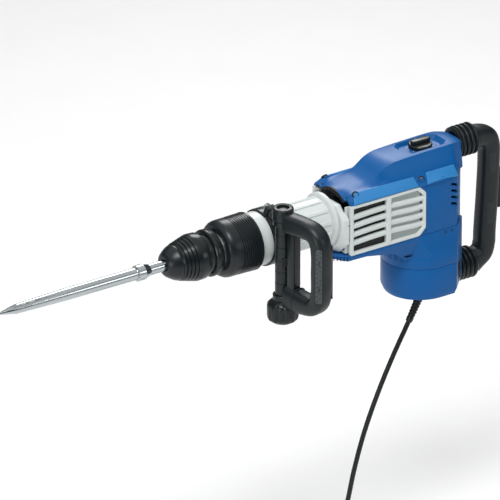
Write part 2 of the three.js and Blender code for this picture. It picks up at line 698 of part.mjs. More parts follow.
function gearHousingBody() {
  const front = X_GEAR_FRONT;
  const half = BODY_HALF_WIDTH - 1;
  const top = PANEL_TOP - 2;
  const low = PANEL_BOTTOM + 2;
  const chamfer = 20;
  const noseOutline = [
    [-half, low + chamfer], [-half + chamfer, low], [half - chamfer, low], [half, low + chamfer],
    [half, top - chamfer], [half - chamfer, top], [-half + chamfer, top], [-half, top - chamfer],
  ];
  const shoulderRound = lathe([
    [front - 1, 0], [front - 1, BARREL_FLANGE_RADIUS + 4], [X_VENT_FRONT, half + 13], [X_VENT_FRONT, 0],
  ], 28, AXIS_X);
  const nose = crossSlab(noseOutline, front, X_VENT_FRONT - SEAT_GAP, 2, 1).intersect(shoulderRound);
  const coreFront = X_VENT_FRONT - 4;
  const core = box(coreFront, X_CORE_REAR, -CORE_HALF_WIDTH, CORE_HALF_WIDTH, Z_CASTING_FLOOR, CORE_TOP);
  const inner = CORE_HALF_WIDTH - CASTING_WALL;
  const floor = Z_CASTING_FLOOR + 4;
  const cavity = box(front + 10, X_CORE_REAR - CASTING_WALL, -inner, inner, floor, CORE_TOP + 1);
  const tubeBore = rod(front - 1, front + 20, TUBE_OUTER_RADIUS + SEAT_GAP, 28, AXIS_X);
  const crankHole = rod(-80, -30, CRANK_SHAFT_RADIUS + 1, 16, AXIS_Z, moved(X_CRANK, 0, 0));
  const motorHole = rod(-80, -30, 12, 16, AXIS_Z, moved(X_MOTOR, 0, 0));
  return cut(unite(nose, core), cavity, tubeBore, crankHole, motorHole);
}

function ventCoverBody(side) {
  const front = X_VENT_FRONT + SEAT_GAP;
  const rear = X_PANEL_FRONT - SEAT_GAP;
  const top = PANEL_TOP - SEAT_GAP;
  const low = PANEL_BOTTOM + SEAT_GAP;
  const inner = BODY_HALF_WIDTH - VENT_DEPTH;
  const outer = BODY_HALF_WIDTH + 0.5;
  const [y0, y1] = side < 0 ? [-outer, -inner] : [inner, outer];
  const plate = sideSlab([
    [front, low], [rear - 12, low], [rear, low + 12], [rear, top - 12], [rear - 12, top], [front, top],
  ], y0, y1, 1.6, 1);
  const rows = 6;
  const pitch = (top - low - 12) / rows;
  const slots = [];
  for (let i = 0; i < rows; i += 1) {
    const z = low + 6 + (i + 0.5) * pitch;
    const half = pitch / 2 - 2.2;
    const end = i === 0 || i === rows - 1 ? rear - 16 : rear - 8;
    slots.push(box(front + 6, front + VENT_LENGTH * 0.46, y0 - 1, y1 + 1, z - half, z + half));
    slots.push(box(front + VENT_LENGTH * 0.53, end, y0 - 1, y1 + 1, z - half, z + half));
  }
  return cut(plate, ...slots);
}

// Plan outline of the body's rear: straight sides and cut rear corners.
function rearPlan(front, rear, half, corner) {
  return [
    [front, -half], [rear - corner, -half], [rear, -half + corner],
    [rear, half - corner], [rear - corner, half], [front, half],
  ];
}

function rearHousingBody() {
  const front = X_PANEL_FRONT + SEAT_GAP;
  const low = PANEL_BOTTOM + SEAT_GAP;
  const top = PANEL_TOP - SEAT_GAP;
  const rear = X_REAR - 4;
  const shell = planSlab(outline(rearPlan(front, rear, BODY_HALF_WIDTH, REAR_CORNER)), low, top);
  const innerPlan = rearPlan(front - 1, rear - WALL, BODY_HALF_WIDTH - WALL, REAR_CORNER - 2);
  const cavity = planSlab(outline(innerPlan), low - 1, top + 1);
  const notchCount = 4;
  const notches = [];
  for (let i = 0; i < notchCount; i += 1) {
    const z = -12 + i * 11;
    for (const side of [-1, 1]) {
      const notch = box(-9, 9, -8, 8, -2, 2, turned(UNIT_Y, 20));
      notches.push(notch.translate([rear - REAR_CORNER - 2, side * BODY_HALF_WIDTH, z]));
    }
  }
  return cut(shell, cavity, ...notches);
}

const CAP_CORNER = 34; // plan chamfer of the motor bay's rear corners

// Plan outline of the motor bay: round in front, straight sides and cut rear corners.
function motorPlan(radius, rear, corner) {
  const shape = new THREE.Shape();
  shape.absarc(X_MOTOR, 0, radius, Math.PI / 2, 1.5 * Math.PI);
  shape.lineTo(rear - corner, -radius);
  shape.lineTo(rear, -radius + corner);
  shape.lineTo(rear, radius - corner);
  shape.lineTo(rear - corner, radius);
  return shape;
}

function motorHousingBody() {
  const top = PANEL_BOTTOM - SEAT_GAP;
  const low = MOTOR_CAP_TOP + SEAT_GAP;
  const trayFront = X_GEAR_FRONT - 10;
  const flare = X_MOTOR - MOTOR_RADIUS;
  const half = BODY_HALF_WIDTH - 1;
  const motorFlare = (inset) => {
    const upper = BODY_HALF_WIDTH - inset;
    const lower = MOTOR_RADIUS - inset;
    return [
      [-upper, top + 1], [-upper, FLARE_TOP], [-lower, FLARE_TOP - FLARE_HEIGHT], [-lower, low - 2],
      [lower, low - 2], [lower, FLARE_TOP - FLARE_HEIGHT], [upper, FLARE_TOP], [upper, top + 1],
    ];
  };
  const bayFront = X_MOTOR - MOTOR_RADIUS - 1;
  const bay = planSlab(motorPlan(MOTOR_RADIUS, X_REAR, CAP_CORNER), low, top)
    .intersect(crossSlab(motorFlare(0), bayFront, X_REAR + 1));
  const sideProfile = (inset) => [
    [trayFront + inset, top + inset], [trayFront + inset, top - 4 + inset], [trayFront + 16, top - 8 + inset],
    [flare - 76, top - 9 + inset], [flare - 22, top - 20 + inset], [flare + 6, top - 40 + inset],
    [X_MOTOR, top - 46 + inset], [X_MOTOR, top + inset],
  ];
  const trayCross = [
    [-half, top + 1], [-half, top - 3], [-half + 12, top - 46],
    [half - 12, top - 46], [half, top - 3], [half, top + 1],
  ];
  const frontCorner = 24;
  const trayPlan = [
    [trayFront, -half + frontCorner], [trayFront + frontCorner, -half], [X_MOTOR + 1, -half],
    [X_MOTOR + 1, half], [trayFront + frontCorner, half], [trayFront, half - frontCorner],
  ];
  const tray = sideSlab(sideProfile(0), -half, half)
    .intersect(crossSlab(trayCross, trayFront - 1, X_MOTOR + 1))
    .intersect(planSlab(outline(trayPlan), top - 60, top + 1));
  const cavity = planSlab(motorPlan(MOTOR_RADIUS - WALL, X_REAR - WALL, CAP_CORNER - 2), low - 1, top + 1)
    .intersect(crossSlab(motorFlare(WALL), bayFront, X_REAR + 1));
  const roomFront = X_CRANK - BRIDGE_REACH - 8;
  const trayCavity = sideSlab(sideProfile(WALL), -BRIDGE_HALF_WIDTH - 1, BRIDGE_HALF_WIDTH + 1)
    .intersect(box(roomFront, X_MOTOR + 1, -60, 60, -200, 0));
  return cut(unite(bay, tray), cavity, trayCavity);
}

const STRUT_RADIUS = 6;

// The bore in the body's rear wall that a handle strut passes through.
function strutRoom(z, depth) {
  return rod(X_REAR - depth, X_REAR + 5, STRUT_RADIUS + SEAT_GAP, 16, AXIS_X, moved(0, 0, z));
}

const GRILLE_DEPTH = 3;
const GRILLE_HEIGHT = 34;
const GRILLE_WIDTH = 24;

const GRILLE_TOP = MOTOR_CAP_TOP - 6;

// A box on the motor cap's cut rear corner: depth inwards, proud outwards.
function onCapCorner(side, depth, proud, halfWidth, z0, z1) {
  const middle = CAP_CORNER / 2;
  return box(-depth, proud, -halfWidth, halfWidth, z0, z1,
    turned(UNIT_Z, side * 45), moved(X_REAR - middle, side * (MOTOR_RADIUS - middle), 0));
}

// The seat of the grille plate, with a margin all round.
function grilleSeat(side, depth, margin) {
  const halfWidth = GRILLE_WIDTH / 2 + margin;
  const low = GRILLE_TOP - GRILLE_HEIGHT - margin;
  return onCapCorner(side, depth, margin * 4, halfWidth, low, GRILLE_TOP + margin);
}

function grilleBody(side) {
  const plate = grilleSeat(side, GRILLE_DEPTH, 0);
  const slotCount = 4;
  const slots = [];
  for (let i = 0; i < slotCount; i += 1) {
    const z = GRILLE_TOP - GRILLE_HEIGHT * ((i + 0.5) / slotCount);
    slots.push(onCapCorner(side, 20, 20, GRILLE_WIDTH / 2 - 3, z - 2, z + 2));
  }
  return cut(plate, ...slots);
}

const BOOT_COLLAR_RADIUS = 8;
const X_BOOT = X_REAR - BOOT_SETBACK;

function motorCapBody() {
  const top = MOTOR_CAP_TOP - SEAT_GAP;
  const chamfer = 14;
  const outer = motorPlan(MOTOR_RADIUS, X_REAR, CAP_CORNER);
  const wall = planSlab(outer, MOTOR_CAP_BOTTOM + chamfer, top);
  const base = slab(outer, 2 * chamfer + 4, chamfer, 2, moved(0, 0, MOTOR_CAP_BOTTOM));
  const capWall = 2 * WALL;
  const inner = motorPlan(MOTOR_RADIUS - capWall, X_REAR - capWall, CAP_CORNER - 3);
  const cavity = planSlab(inner, MOTOR_CAP_BOTTOM + WALL + 2, top + 1);
  const seatBore = MOTOR_BEARING_RADIUS + SEAT_GAP;
  const seatTop = SHAFT_BOTTOM + 2 + BEARING_WIDTH;
  const seatLow = MOTOR_CAP_BOTTOM + 2;
  const seat = ring(seatLow, seatTop, seatBore, seatBore + WALL, 18, AXIS_Z, moved(X_MOTOR, 0, 0));
  const bootBore = BOOT_COLLAR_RADIUS + SEAT_GAP;
  const bootHole = rod(-20, 20, bootBore, 16, AXIS_Z, moved(X_BOOT, 0, MOTOR_CAP_BOTTOM));
  const strutHole = strutRoom(LOWER_ARM_Z, 15);
  const grilles = [-1, 1].map((side) => grilleSeat(side, GRILLE_DEPTH + SEAT_GAP, SEAT_GAP));
  return cut(unite(cut(unite(wall, base), cavity), seat), bootHole, strutHole, ...grilles);
}

const X_DIAL = X_REAR - DIAL_SETBACK;
const DIAL_FLOOR = HOOD_TOP - 5;
const X_HOOD_FRONT = X_GEAR_FRONT + 4;
const DIAL_STEM_RADIUS = 6;
const SCREW_RADIUS = 4;
const SCREW_HEAD_HEIGHT = 3;
const SHOULDER_WIDTH = 10;
const SHOULDER_RISE = 13;
const X_HOOD_SCREWS = [X_VENT_FRONT + 12, X_PANEL_FRONT - 6];

// Places a shape built along +Z onto the middle of the hood's sloping shoulder.
function onShoulder(x, side, lift) {
  const slope = THREE.MathUtils.radToDeg(Math.atan2(SHOULDER_RISE, SHOULDER_WIDTH));
  const y = BODY_HALF_WIDTH - SHOULDER_WIDTH / 2;
  const z = PANEL_TOP + SEAT_GAP + 3 + SHOULDER_RISE / 2;
  return moved(x, side * y, z).multiply(turned(UNIT_X, -side * slope)).multiply(moved(0, 0, lift));
}

function hoodBody() {
  const low = PANEL_TOP + SEAT_GAP;
  const rise = X_VENT_FRONT + 62;
  const side = [
    [X_HOOD_FRONT, low - 2], [X_HOOD_FRONT, HOOD_LIP], [rise - 20, HOOD_LIP + 7], [rise, HOOD_LIP + 10],
    [rise + 36, HOOD_TOP - 2], [rise + 50, HOOD_TOP], [X_REAR - 12, HOOD_TOP + 2], [X_REAR, HOOD_TOP - 3],
    [X_REAR, low + 4], [X_REAR - 4, low], [X_VENT_FRONT, low], [X_VENT_FRONT - 2, low - 2],
  ];
  const h = BODY_HALF_WIDTH;
  const crown = HOOD_TOP_HALF_WIDTH;
  const brow = crown + 3; // half width just under the crown's edge
  const cross = [
    [-h, low - 10], [-h, low + 3], [-h + SHOULDER_WIDTH, low + 3 + SHOULDER_RISE], [-h + 13, low + 14],
    [-brow, HOOD_TOP - 3], [-crown, HOOD_TOP + 5], [crown, HOOD_TOP + 5], [brow, HOOD_TOP - 3],
    [h - 13, low + 14], [h - SHOULDER_WIDTH, low + 3 + SHOULDER_RISE], [h, low + 3], [h, low - 10],
  ];
  const frontHalf = 32;
  const plan = [
    [X_HOOD_FRONT, -frontHalf], [X_HOOD_FRONT + 16, -h],
    [X_REAR - REAR_CORNER, -h], [X_REAR, -h + REAR_CORNER],
    [X_REAR, h - REAR_CORNER], [X_REAR - REAR_CORNER, h],
    [X_HOOD_FRONT + 16, h], [X_HOOD_FRONT, frontHalf],
  ];
  const arch = lathe([
    [X_HOOD_FRONT - 1, 0], [X_HOOD_FRONT - 1, HOOD_LIP + 4], [X_HOOD_FRONT + 20, HOOD_LIP + 7],
    [rise - 6, HOOD_LIP + 16], [rise + 34, HOOD_TOP + 6], [rise + 50, HOOD_TOP + 60],
    [X_REAR + 1, HOOD_TOP + 60], [X_REAR + 1, 0],
  ], 48, AXIS_X);
  const outer = sideSlab(side, -h, h)
    .intersect(arch)
    .intersect(crossSlab(cross, X_HOOD_FRONT - 1, X_REAR + 1))
    .intersect(planSlab(outline(plan), low - 5, HOOD_TOP + 30));
  const ceiling = HOOD_TOP - 12;
  const innerSide = [
    [rise + 6, low - 1], [rise + 6, low + 8], [rise + 42, ceiling],
    [X_REAR - 5, ceiling], [X_REAR - 5, low - 1],
  ];
  const inner = sideSlab(innerSide, -crown, crown);
  const under = box(X_VENT_FRONT + 4, X_REAR - REAR_CORNER - 4, -h + 12, h - 12, low - 1, low + 5);
  const stemBore = DIAL_STEM_RADIUS + SLIDE_GAP;
  const dialHole = rod(DIAL_FLOOR - 12, HOOD_TOP + 12, stemBore, 16, AXIS_Z, moved(X_DIAL, 0, 0));
  const recessPlan = [
    [X_DIAL - 44, -12], [X_DIAL - 30, -23], [X_DIAL + 22, -23], [X_DIAL + 36, -12],
    [X_DIAL + 36, 12], [X_DIAL + 22, 23], [X_DIAL - 30, 23], [X_DIAL - 44, 12],
  ];
  const recess = planSlab(outline(recessPlan), DIAL_FLOOR, HOOD_TOP + 12);
  const pockets = [];
  for (const x of X_HOOD_SCREWS) {
    for (const end of [-1, 1]) {
      const pocket = rod(0, 14, SCREW_RADIUS + SEAT_GAP, 16, AXIS_Z);
      pockets.push(pocket.transform(onShoulder(x, end, -SCREW_HEAD_HEIGHT - 1).elements));
    }
  }
  const strutHole = strutRoom(UPPER_ARM_Z, 30);
  return cut(outer, inner, under, dialHole, recess, strutHole, ...pockets);
}

function hoodScrewBody(x, side) {
  const blank = rod(SEAT_GAP, SCREW_HEAD_HEIGHT, SCREW_RADIUS, 16, AXIS_Z);
  const socket = rod(SCREW_HEAD_HEIGHT - 1.4, SCREW_HEAD_HEIGHT + 1, 2, 6, AXIS_Z);
  return cut(blank, socket).transform(onShoulder(x, side, -SCREW_HEAD_HEIGHT - 1).elements);
}

function electronicsBody() {
  const boardLow = PANEL_TOP + 9;
  const board = box(X_DIAL - 30, X_DIAL + 34, -22, 22, boardLow, boardLow + 3);
  const controller = box(X_DIAL - 20, X_DIAL + 20, -16, 16, boardLow + 2, DIAL_FLOOR - 15);
  return unite(board, controller);
}

function dialBody() {
  const base = DIAL_FLOOR + SEAT_GAP;
  const disc = rod(base, base + 7, DIAL_RADIUS, 26, AXIS_Z);
  const stem = rod(base - 8, base + 2, DIAL_STEM_RADIUS, 16, AXIS_Z);
  const wing = planSlab(roundedRectangle(DIAL_RADIUS - 1, 5.5, 3), base + 5, base + 14, 1.2, 1);
  return unite(disc, stem, wing);
}

// ---------- Front handle ----------
const CLAMP_LUG_TURN = 22; // degrees from the top towards the post
const CLAMP_BOLT_RISE = 5;

function clampBandBody() {
  const inner = CLAMP_SEAT_RADIUS + SEAT_GAP;
  const outer = CLAMP_SEAT_RADIUS + 6;
  const x0 = X_CLAMP_FRONT + SEAT_GAP;
  const x1 = X_CLAMP_REAR - SEAT_GAP;
  const band = ring(x0, x1, inner, outer, 40, AXIS_X);
  const tilt = turned(UNIT_X, CLAMP_LUG_TURN);
  const lug = box(x0 + 3, x1 - 3, -11, 11, outer - 4, outer + 11, tilt);
  const slit = box(x0 - 1, x1 + 1, -1.5, 1.5, 20, outer + 20, tilt);
  const boltHole = rod(-30, 30, 3.4, 16, moved((x0 + x1) / 2, 0, outer + CLAMP_BOLT_RISE), tilt);
  const saddle = box(x0, x1, -POST_OFFSET - 6, -inner + 4, -22, 22);
  const bore = rod(-60, 60, POST_RADIUS + SEAT_GAP, 22, AXIS_Z, moved(X_POST, -POST_OFFSET, 0));
  const seat = rod(x0 - 20, x1 + 1, inner, 40, AXIS_X);
  return cut(unite(band, lug, saddle), slit, boltHole, bore, seat);
}

function clampBoltBody() {
  const z = CLAMP_SEAT_RADIUS + 6 + CLAMP_BOLT_RISE;
  const tilt = turned(UNIT_X, CLAMP_LUG_TURN);
  const shank = rod(-11 - 3, 11 + 3, 3, 14);
  const head = rod(11 + SEAT_GAP, 11 + 6, 5.5, 6);
  const middle = moved((X_CLAMP_FRONT + X_CLAMP_REAR) / 2, 0, z);
  return unite(shank, head).transform(tilt.multiply(middle).elements);
}

function postBody() {
  const profile = [[POST_BOTTOM, 0], [POST_BOTTOM, POST_RADIUS]];
  const lines = [-54, -34, 28];
  for (const z of lines) {
    profile.push([z, POST_RADIUS], [z + 0.6, POST_RADIUS - 0.8], [z + 1.2, POST_RADIUS]);
  }
  profile.push([POST_TOP, POST_RADIUS], [POST_TOP, 0]);
  return lathe(profile, 22, AXIS_Z);
}

const HUB_RADIUS = POST_RADIUS + 3.5;
const HUB_HEIGHT = 9;

function postCapBody() {
  const z0 = POST_TOP + HUB_HEIGHT + 2 * SEAT_GAP;
  const z1 = z0 + POST_CAP_HEIGHT;
  const blank = lathe([
    [z0, 0], [z0, POST_CAP_RADIUS - 1], [z0 + 2, POST_CAP_RADIUS],
    [z1 - 2, POST_CAP_RADIUS], [z1, POST_CAP_RADIUS - 2], [z1, 0],
  ], 22, AXIS_Z);
  return cut(blank, rod(z1 - 8, z1 + 1, 8, 6, AXIS_Z));
}

function knobBody() {
  const z1 = POST_BOTTOM - HUB_HEIGHT - 2 * SEAT_GAP;
  const z0 = z1 - KNOB_HEIGHT;
  const blank = lathe([
    [z0, 0], [z0, KNOB_RADIUS - 8], [z0 + 4, KNOB_RADIUS - 2], [z0 + 9, KNOB_RADIUS], [z1 - 9, KNOB_RADIUS],
    [z1 - 3, KNOB_RADIUS - 5], [z1, KNOB_RADIUS - 10], [z1, 0],
  ], 24, AXIS_Z);
  const fluteCount = 12;
  const flutes = [];
  for (let i = 0; i < fluteCount; i += 1) {
    const flute = rod(z0 - 1, z1 - 10, 3, 8, AXIS_Z, moved(KNOB_RADIUS + 1.2, 0, 0));
    flutes.push(flute.transform(turned(UNIT_Z, (360 * i) / fluteCount).elements));
  }
  return cut(blank, ...flutes);
}

function bowPath(reach, top, bottom) {
  const round = 22;
  const start = 14;
  return [
    [start, 0, top], [reach - round - 14, 0, top + 1], [reach - round + 6, 0, top - 1],
    [reach - 5, 0, top - 10], [reach, 0, top - round - 8], [reach, 0, (top + bottom) / 2],
    [reach, 0, bottom + round + 8], [reach - 5, 0, bottom + 10], [reach - round + 6, 0, bottom + 1],
    [reach - round - 14, 0, bottom - 1], [start, 0, bottom],
  ];
}

const PAD_HALF_HEIGHT = 48;
const PAD_DEPTH = 4;

function bowLoop() {
  const section = new THREE.Shape().absellipse(0, 0, BOW_GRIP_RADIUS - 2, BOW_GRIP_RADIUS, 0, 2 * Math.PI);
  return sweep(bowPath(BOW_REACH, BOW_TOP - 4, BOW_BOTTOM + 4), section, 30, 6);
}

// The room for a soft insert in the grip's side face.
function gripPadRoom(margin) {
  const half = PAD_HALF_HEIGHT + margin;
  const middle = (BOW_TOP + BOW_BOTTOM) / 2;
  const inner = -BOW_GRIP_RADIUS + 2 + PAD_DEPTH + margin;
  return box(BOW_REACH - 6 - margin, BOW_REACH + 9 + margin, -40, inner, middle - half, middle + half);
}

function gripPadBody() {
  return bowLoop().intersect(gripPadRoom(0));
}

function bowHandleBody() {
  const bar = box(POST_RADIUS + 3, 32, -9, 9, BOW_BOTTOM - 4, BOW_TOP - 4);
  const postEnds = [POST_BOTTOM - SEAT_GAP, POST_TOP + SEAT_GAP];
  const hubEnds = [postEnds[0] - HUB_HEIGHT, postEnds[1] + HUB_HEIGHT];
  const topHub = rod(postEnds[1], hubEnds[1], HUB_RADIUS, 22, AXIS_Z);
  const lowHub = rod(hubEnds[0], postEnds[0], HUB_RADIUS, 22, AXIS_Z);
  const postRoom = rod(...postEnds, POST_RADIUS + 1, 22, AXIS_Z);
  const capRoom = rod(hubEnds[1], hubEnds[1] + 60, POST_CAP_RADIUS + 1, 22, AXIS_Z);
  const knobRoom = rod(hubEnds[0] - 60, hubEnds[0], KNOB_RADIUS + 1, 22, AXIS_Z);
  return cut(unite(bowLoop(), bar, topHub, lowHub), postRoom, capRoom, knobRoom, gripPadRoom(SEAT_GAP));
}

// ---------- Rear handle ----------
const X_HANDLE_FRONT = X_REAR + BELLOWS_LENGTH + 2 * SEAT_GAP;
const SWITCH_TOP = 4;
const SWITCH_HEIGHT = 70;
const SWITCH_WIDTH = 15;
const SWITCH_STROKE = 3;
const SWITCH_PROUD = 4;
const SWITCH_DEPTH = 12; // rocker inside the grip
const SWITCH_POCKET = 26;
const X_GRIP_BACK = GRIP_DEPTH / 2;

function rearHandleBody() {
  const lowX = -GRIP_LEAN;
  const upper = UPPER_ARM_Z;
  const lower = LOWER_ARM_Z;
  const path = [
    [X_HANDLE_FRONT, 0, upper], [-22, 0, upper], [-7, 0, upper - 5], [-1, 0, upper - 18], [0, 0, upper - 40],
    [lowX / 2, 0, (upper + lower) / 2],
    [lowX, 0, lower + 40], [lowX - 1, 0, lower + 17], [lowX - 7, 0, lower + 4], [-26, 0, lower],
    [X_HANDLE_FRONT, 0, lower],
  ];
  const section = roundedRectangle(GRIP_WIDTH / 2, GRIP_DEPTH / 2, 13);
  const half = SWITCH_WIDTH / 2 + SLIDE_GAP;
  const pocketFront = X_GRIP_BACK - SWITCH_POCKET;
  const pocketLow = SWITCH_TOP - SWITCH_HEIGHT - 1;
  const pocket = box(pocketFront, X_GRIP_BACK + 10, -half, half, pocketLow, SWITCH_TOP + 1);
  return cut(sweep(path, section, 26, 2), pocket);
}

function gripSwitchBody() {
  const x0 = X_GRIP_BACK - SWITCH_DEPTH;
  const x1 = X_GRIP_BACK + SWITCH_PROUD;
  const low = SWITCH_TOP - SWITCH_HEIGHT;
  const side = [
    [x0, low], [x1 - 5, low], [x1 - 1, low + 10], [x1, low + 24],
    [x1, SWITCH_TOP - 18], [x1 - 2, SWITCH_TOP - 6], [x1 - 6, SWITCH_TOP], [x0, SWITCH_TOP],
  ];
  return sideSlab(side, -SWITCH_WIDTH / 2, SWITCH_WIDTH / 2, 1.5, 1);
}

function switchModuleBody() {
  const x0 = X_GRIP_BACK - SWITCH_POCKET + SEAT_GAP;
  const x1 = X_GRIP_BACK - SWITCH_DEPTH - SWITCH_STROKE - SEAT_GAP;
  const half = SWITCH_WIDTH / 2;
  return box(x0, x1, -half, half, SWITCH_TOP - SWITCH_HEIGHT + 8, SWITCH_TOP - 8);
}

function strutBody(z) {
  return rod(X_REAR - 12, X_HANDLE_FRONT - SEAT_GAP, STRUT_RADIUS, 16, AXIS_X, moved(0, 0, z));
}

function bellowsBody(z) {
  const x0 = X_REAR + SEAT_GAP;
  const profile = [[x0, BELLOWS_RADIUS - 8], [x0, BELLOWS_RADIUS - 1]];
  const pitch = (BELLOWS_LENGTH - 4) / BELLOWS_RIBS;
  for (let i = 0; i < BELLOWS_RIBS; i += 1) {
    const start = x0 + 2 + i * pitch;
    profile.push([start + 1, BELLOWS_RADIUS - 4]);
    profile.push([start + pitch * 0.35, BELLOWS_RADIUS]);
    profile.push([start + pitch * 0.75, BELLOWS_RADIUS - 0.6]);
  }
  profile.push([x0 + BELLOWS_LENGTH, BELLOWS_RADIUS - 4], [x0 + BELLOWS_LENGTH, BELLOWS_RADIUS - 8]);
  return lathe(profile, 18, AXIS_X, moved(0, 0, z));
}

// ---------- Cord ----------
const BOOT_DIRECTION = new THREE.Vector3(-Math.sin(deg(BOOT_LEAN)), 0, -Math.cos(deg(BOOT_LEAN)));

function bootBody() {
  const collarTop = MOTOR_CAP_BOTTOM + 4;
  const collar = rod(collarTop - 8, collarTop, BOOT_COLLAR_RADIUS, 16, AXIS_Z, moved(X_BOOT, 0, 0));
  const profile = [[0, 0], [0, BOOT_COLLAR_RADIUS - 0.5], [BOOT_LENGTH, CORD_RADIUS + 1.5], [BOOT_LENGTH, 0]];
  const hang = turned(UNIT_X, 180);
  const lean = turned(UNIT_Y, BOOT_LEAN);
  const cone = lathe(profile, 16, AXIS_Z, hang, lean, moved(X_BOOT, 0, MOTOR_CAP_BOTTOM));
  const capRoom = box(X_BOOT - 30, X_BOOT + 30, -30, 30, MOTOR_CAP_BOTTOM - SEAT_GAP, MOTOR_CAP_BOTTOM + 30);
  return unite(collar, cut(cone, capRoom));
}

// The hanging run from the boot's tip to the coil, chosen by hand; the last point tops the coil's ring.
const BOOT_TIP = new THREE.Vector3(X_BOOT, 0, MOTOR_CAP_BOTTOM).addScaledVector(BOOT_DIRECTION, BOOT_LENGTH);
const CORD_ROUTE = [
  [-188, 0, -276],
  [-216, 0, -331],
  [-242, 0, -392],
  [-262, 0, -455],
  [-274, 0, -510],
  [-279, 0, -550],
];
const COIL_CENTRE = [-325, 0];
const COIL_TOP = FLOOR + COIL_HEIGHT;

function mainsCordBody() {
  const start = BOOT_TIP.clone().addScaledVector(BOOT_DIRECTION, SEAT_GAP);
  const end = [COIL_CENTRE[0] + COIL_RING_RADIUS, COIL_CENTRE[1], COIL_TOP + 3 * SEAT_GAP];
  return sweep([start.toArray(), ...CORD_ROUTE, end], circle(CORD_RADIUS), 20, 4);
}

function coilBody() {
  const inner = COIL_RING_RADIUS - COIL_HALF_WIDTH;
  const outer = COIL_RING_RADIUS + COIL_HALF_WIDTH;
  const corner = 3;
  const profile = [
    [0, inner + corner], [0, outer - corner], [corner, outer], [COIL_HEIGHT - corner, outer],
    [COIL_HEIGHT, outer - corner], [COIL_HEIGHT, inner + corner], [COIL_HEIGHT - corner, inner], [corner, inner],
  ];
  return lathe(profile, 28, AXIS_Z, moved(COIL_CENTRE[0], COIL_CENTRE[1], FLOOR));
}

const X_TAIL = COIL_CENTRE[0] - COIL_RING_RADIUS - COIL_HALF_WIDTH - CORD_RADIUS - 3;
const Y_PLUG = COIL_CENTRE[1] - 26;

function cordTailBody() {
  const z = FLOOR + PLUG_RADIUS;
  const start = COIL_CENTRE[1] + 34;
  const route = [
    [X_TAIL, start, FLOOR + CORD_RADIUS + 1], [X_TAIL, start - 20, FLOOR + CORD_RADIUS + 4],
    [X_TAIL, Y_PLUG + 20, z], [X_TAIL, Y_PLUG + SEAT_GAP, z],
  ];
  return sweep(route, circle(CORD_RADIUS), 8, 4);
}

function plugBody() {
  const body = lathe([
    [0, 0], [0, CORD_RADIUS + 1.5], [16, 9], [20, PLUG_RADIUS - 3], [24, PLUG_RADIUS],
    [PLUG_LENGTH, PLUG_RADIUS], [PLUG_LENGTH, 0],
  ], 24);
  const pins = [-1, 1].map((side) =>
    rod(PLUG_LENGTH - 2, PLUG_LENGTH + PIN_REACH, PLUG_PIN_RADIUS, 10, moved(side * PIN_SPACING / 2, 0, 0)));
  return unite(body, ...pins)
    .transform(turned(UNIT_X, 180).elements)
    .translate([X_TAIL, Y_PLUG, FLOOR + PLUG_RADIUS]);
}

// ---------- Assembly ----------
piece('chisel', 'brightSteel', chiselBody());
piece('nose_cap', 'rubber', noseCapBody());
piece('locking_sleeve', 'blackPlastic', lockingSleeveBody());
piece('sleeve_spring', 'darkSteel', sleeveSpringBody());
piece('locking_pin_upper', 'darkSteel', lockingPinBody(1));
piece('locking_pin_lower', 'darkSteel', lockingPinBody(-1));
piece('tool_holder', 'darkSteel', toolHolderBody());
piece('chuck_carrier', 'aluminium', carrierBody());
piece('adjusting_ring', 'blackPlastic', adjustingRingBody());
piece('rubber_sleeve', 'rubber', rubberSleeveBody());
piece('barrel_housing', 'silverPaint', barrelBody());
piece('hammer_tube', 'darkSteel', hammerTubeBody());
piece('beat_piece', 'darkSteel', beatPieceBody());
piece('ram', 'darkSteel', ramBody());
piece('drive_piston', 'aluminium', pistonBody());
piece('wrist_pin', 'brightSteel', wristPinBody());
piece('connecting_rod', 'aluminium', connectingRodBody());
piece('gear_housing', 'silverPaint', gearHousingBody());
piece('vent_cover_left', 'silverPaint', ventCoverBody(-1));
piece('vent_cover_right', 'silverPaint', ventCoverBody(1));
piece('rear_housing', 'bluePlastic', rearHousingBody());
piece('motor_housing', 'bluePlastic', motorHousingBody());
piece('motor_cap', 'bluePlastic', motorCapBody());
piece('top_hood', 'bluePlastic', hoodBody());
piece('bearing_bridge', 'aluminium', bridgeBody());

const crankAxle = new THREE.Group();
crankAxle.position.set(X_CRANK, 0, 0);
hammer.add(crankAxle);
piece('crank_gear', 'darkSteel', crankGearBody(), crankAxle);
const crankBearing = bearingBody(CRANK_SHAFT_RADIUS + SEAT_GAP, CRANK_BEARING_RADIUS, Z_BRIDGE - SEAT_GAP);
piece('crank_bearing', 'brightSteel', crankBearing, crankAxle);

const motorAxle = new THREE.Group();
motorAxle.position.set(X_MOTOR, 0, 0);
hammer.add(motorAxle);
piece('armature', 'copper', armatureBody(), motorAxle);
piece('cooling_fan', 'blackPlastic', fanBody(), motorAxle);
const motorBearing = (z) => bearingBody(MOTOR_SHAFT_RADIUS + SEAT_GAP, MOTOR_BEARING_RADIUS, z);
piece('motor_bearing_upper', 'brightSteel', motorBearing(Z_BRIDGE - SEAT_GAP), motorAxle);
piece('motor_bearing_lower', 'brightSteel', motorBearing(SHAFT_BOTTOM + 1), motorAxle);
piece('stator', 'darkSteel', statorBody(), motorAxle);
piece('carbon_brush_left', 'carbon', brushBody(-1), motorAxle);
piece('carbon_brush_right', 'carbon', brushBody(1), motorAxle);

const dialAxle = new THREE.Group();
dialAxle.position.set(X_DIAL, 0, 0);
hammer.add(dialAxle);
piece('speed_dial', 'blackPlastic', dialBody(), dialAxle);

piece('electronics_module', 'board', electronicsBody());
X_HOOD_SCREWS.forEach((x, i) => piece(`hood_screw_${i + 1}`, 'brightSteel', hoodScrewBody(x, -1)));
piece('rear_grille_left', 'blackPlastic', grilleBody(-1));
piece('rear_grille_right', 'blackPlastic', grilleBody(1));

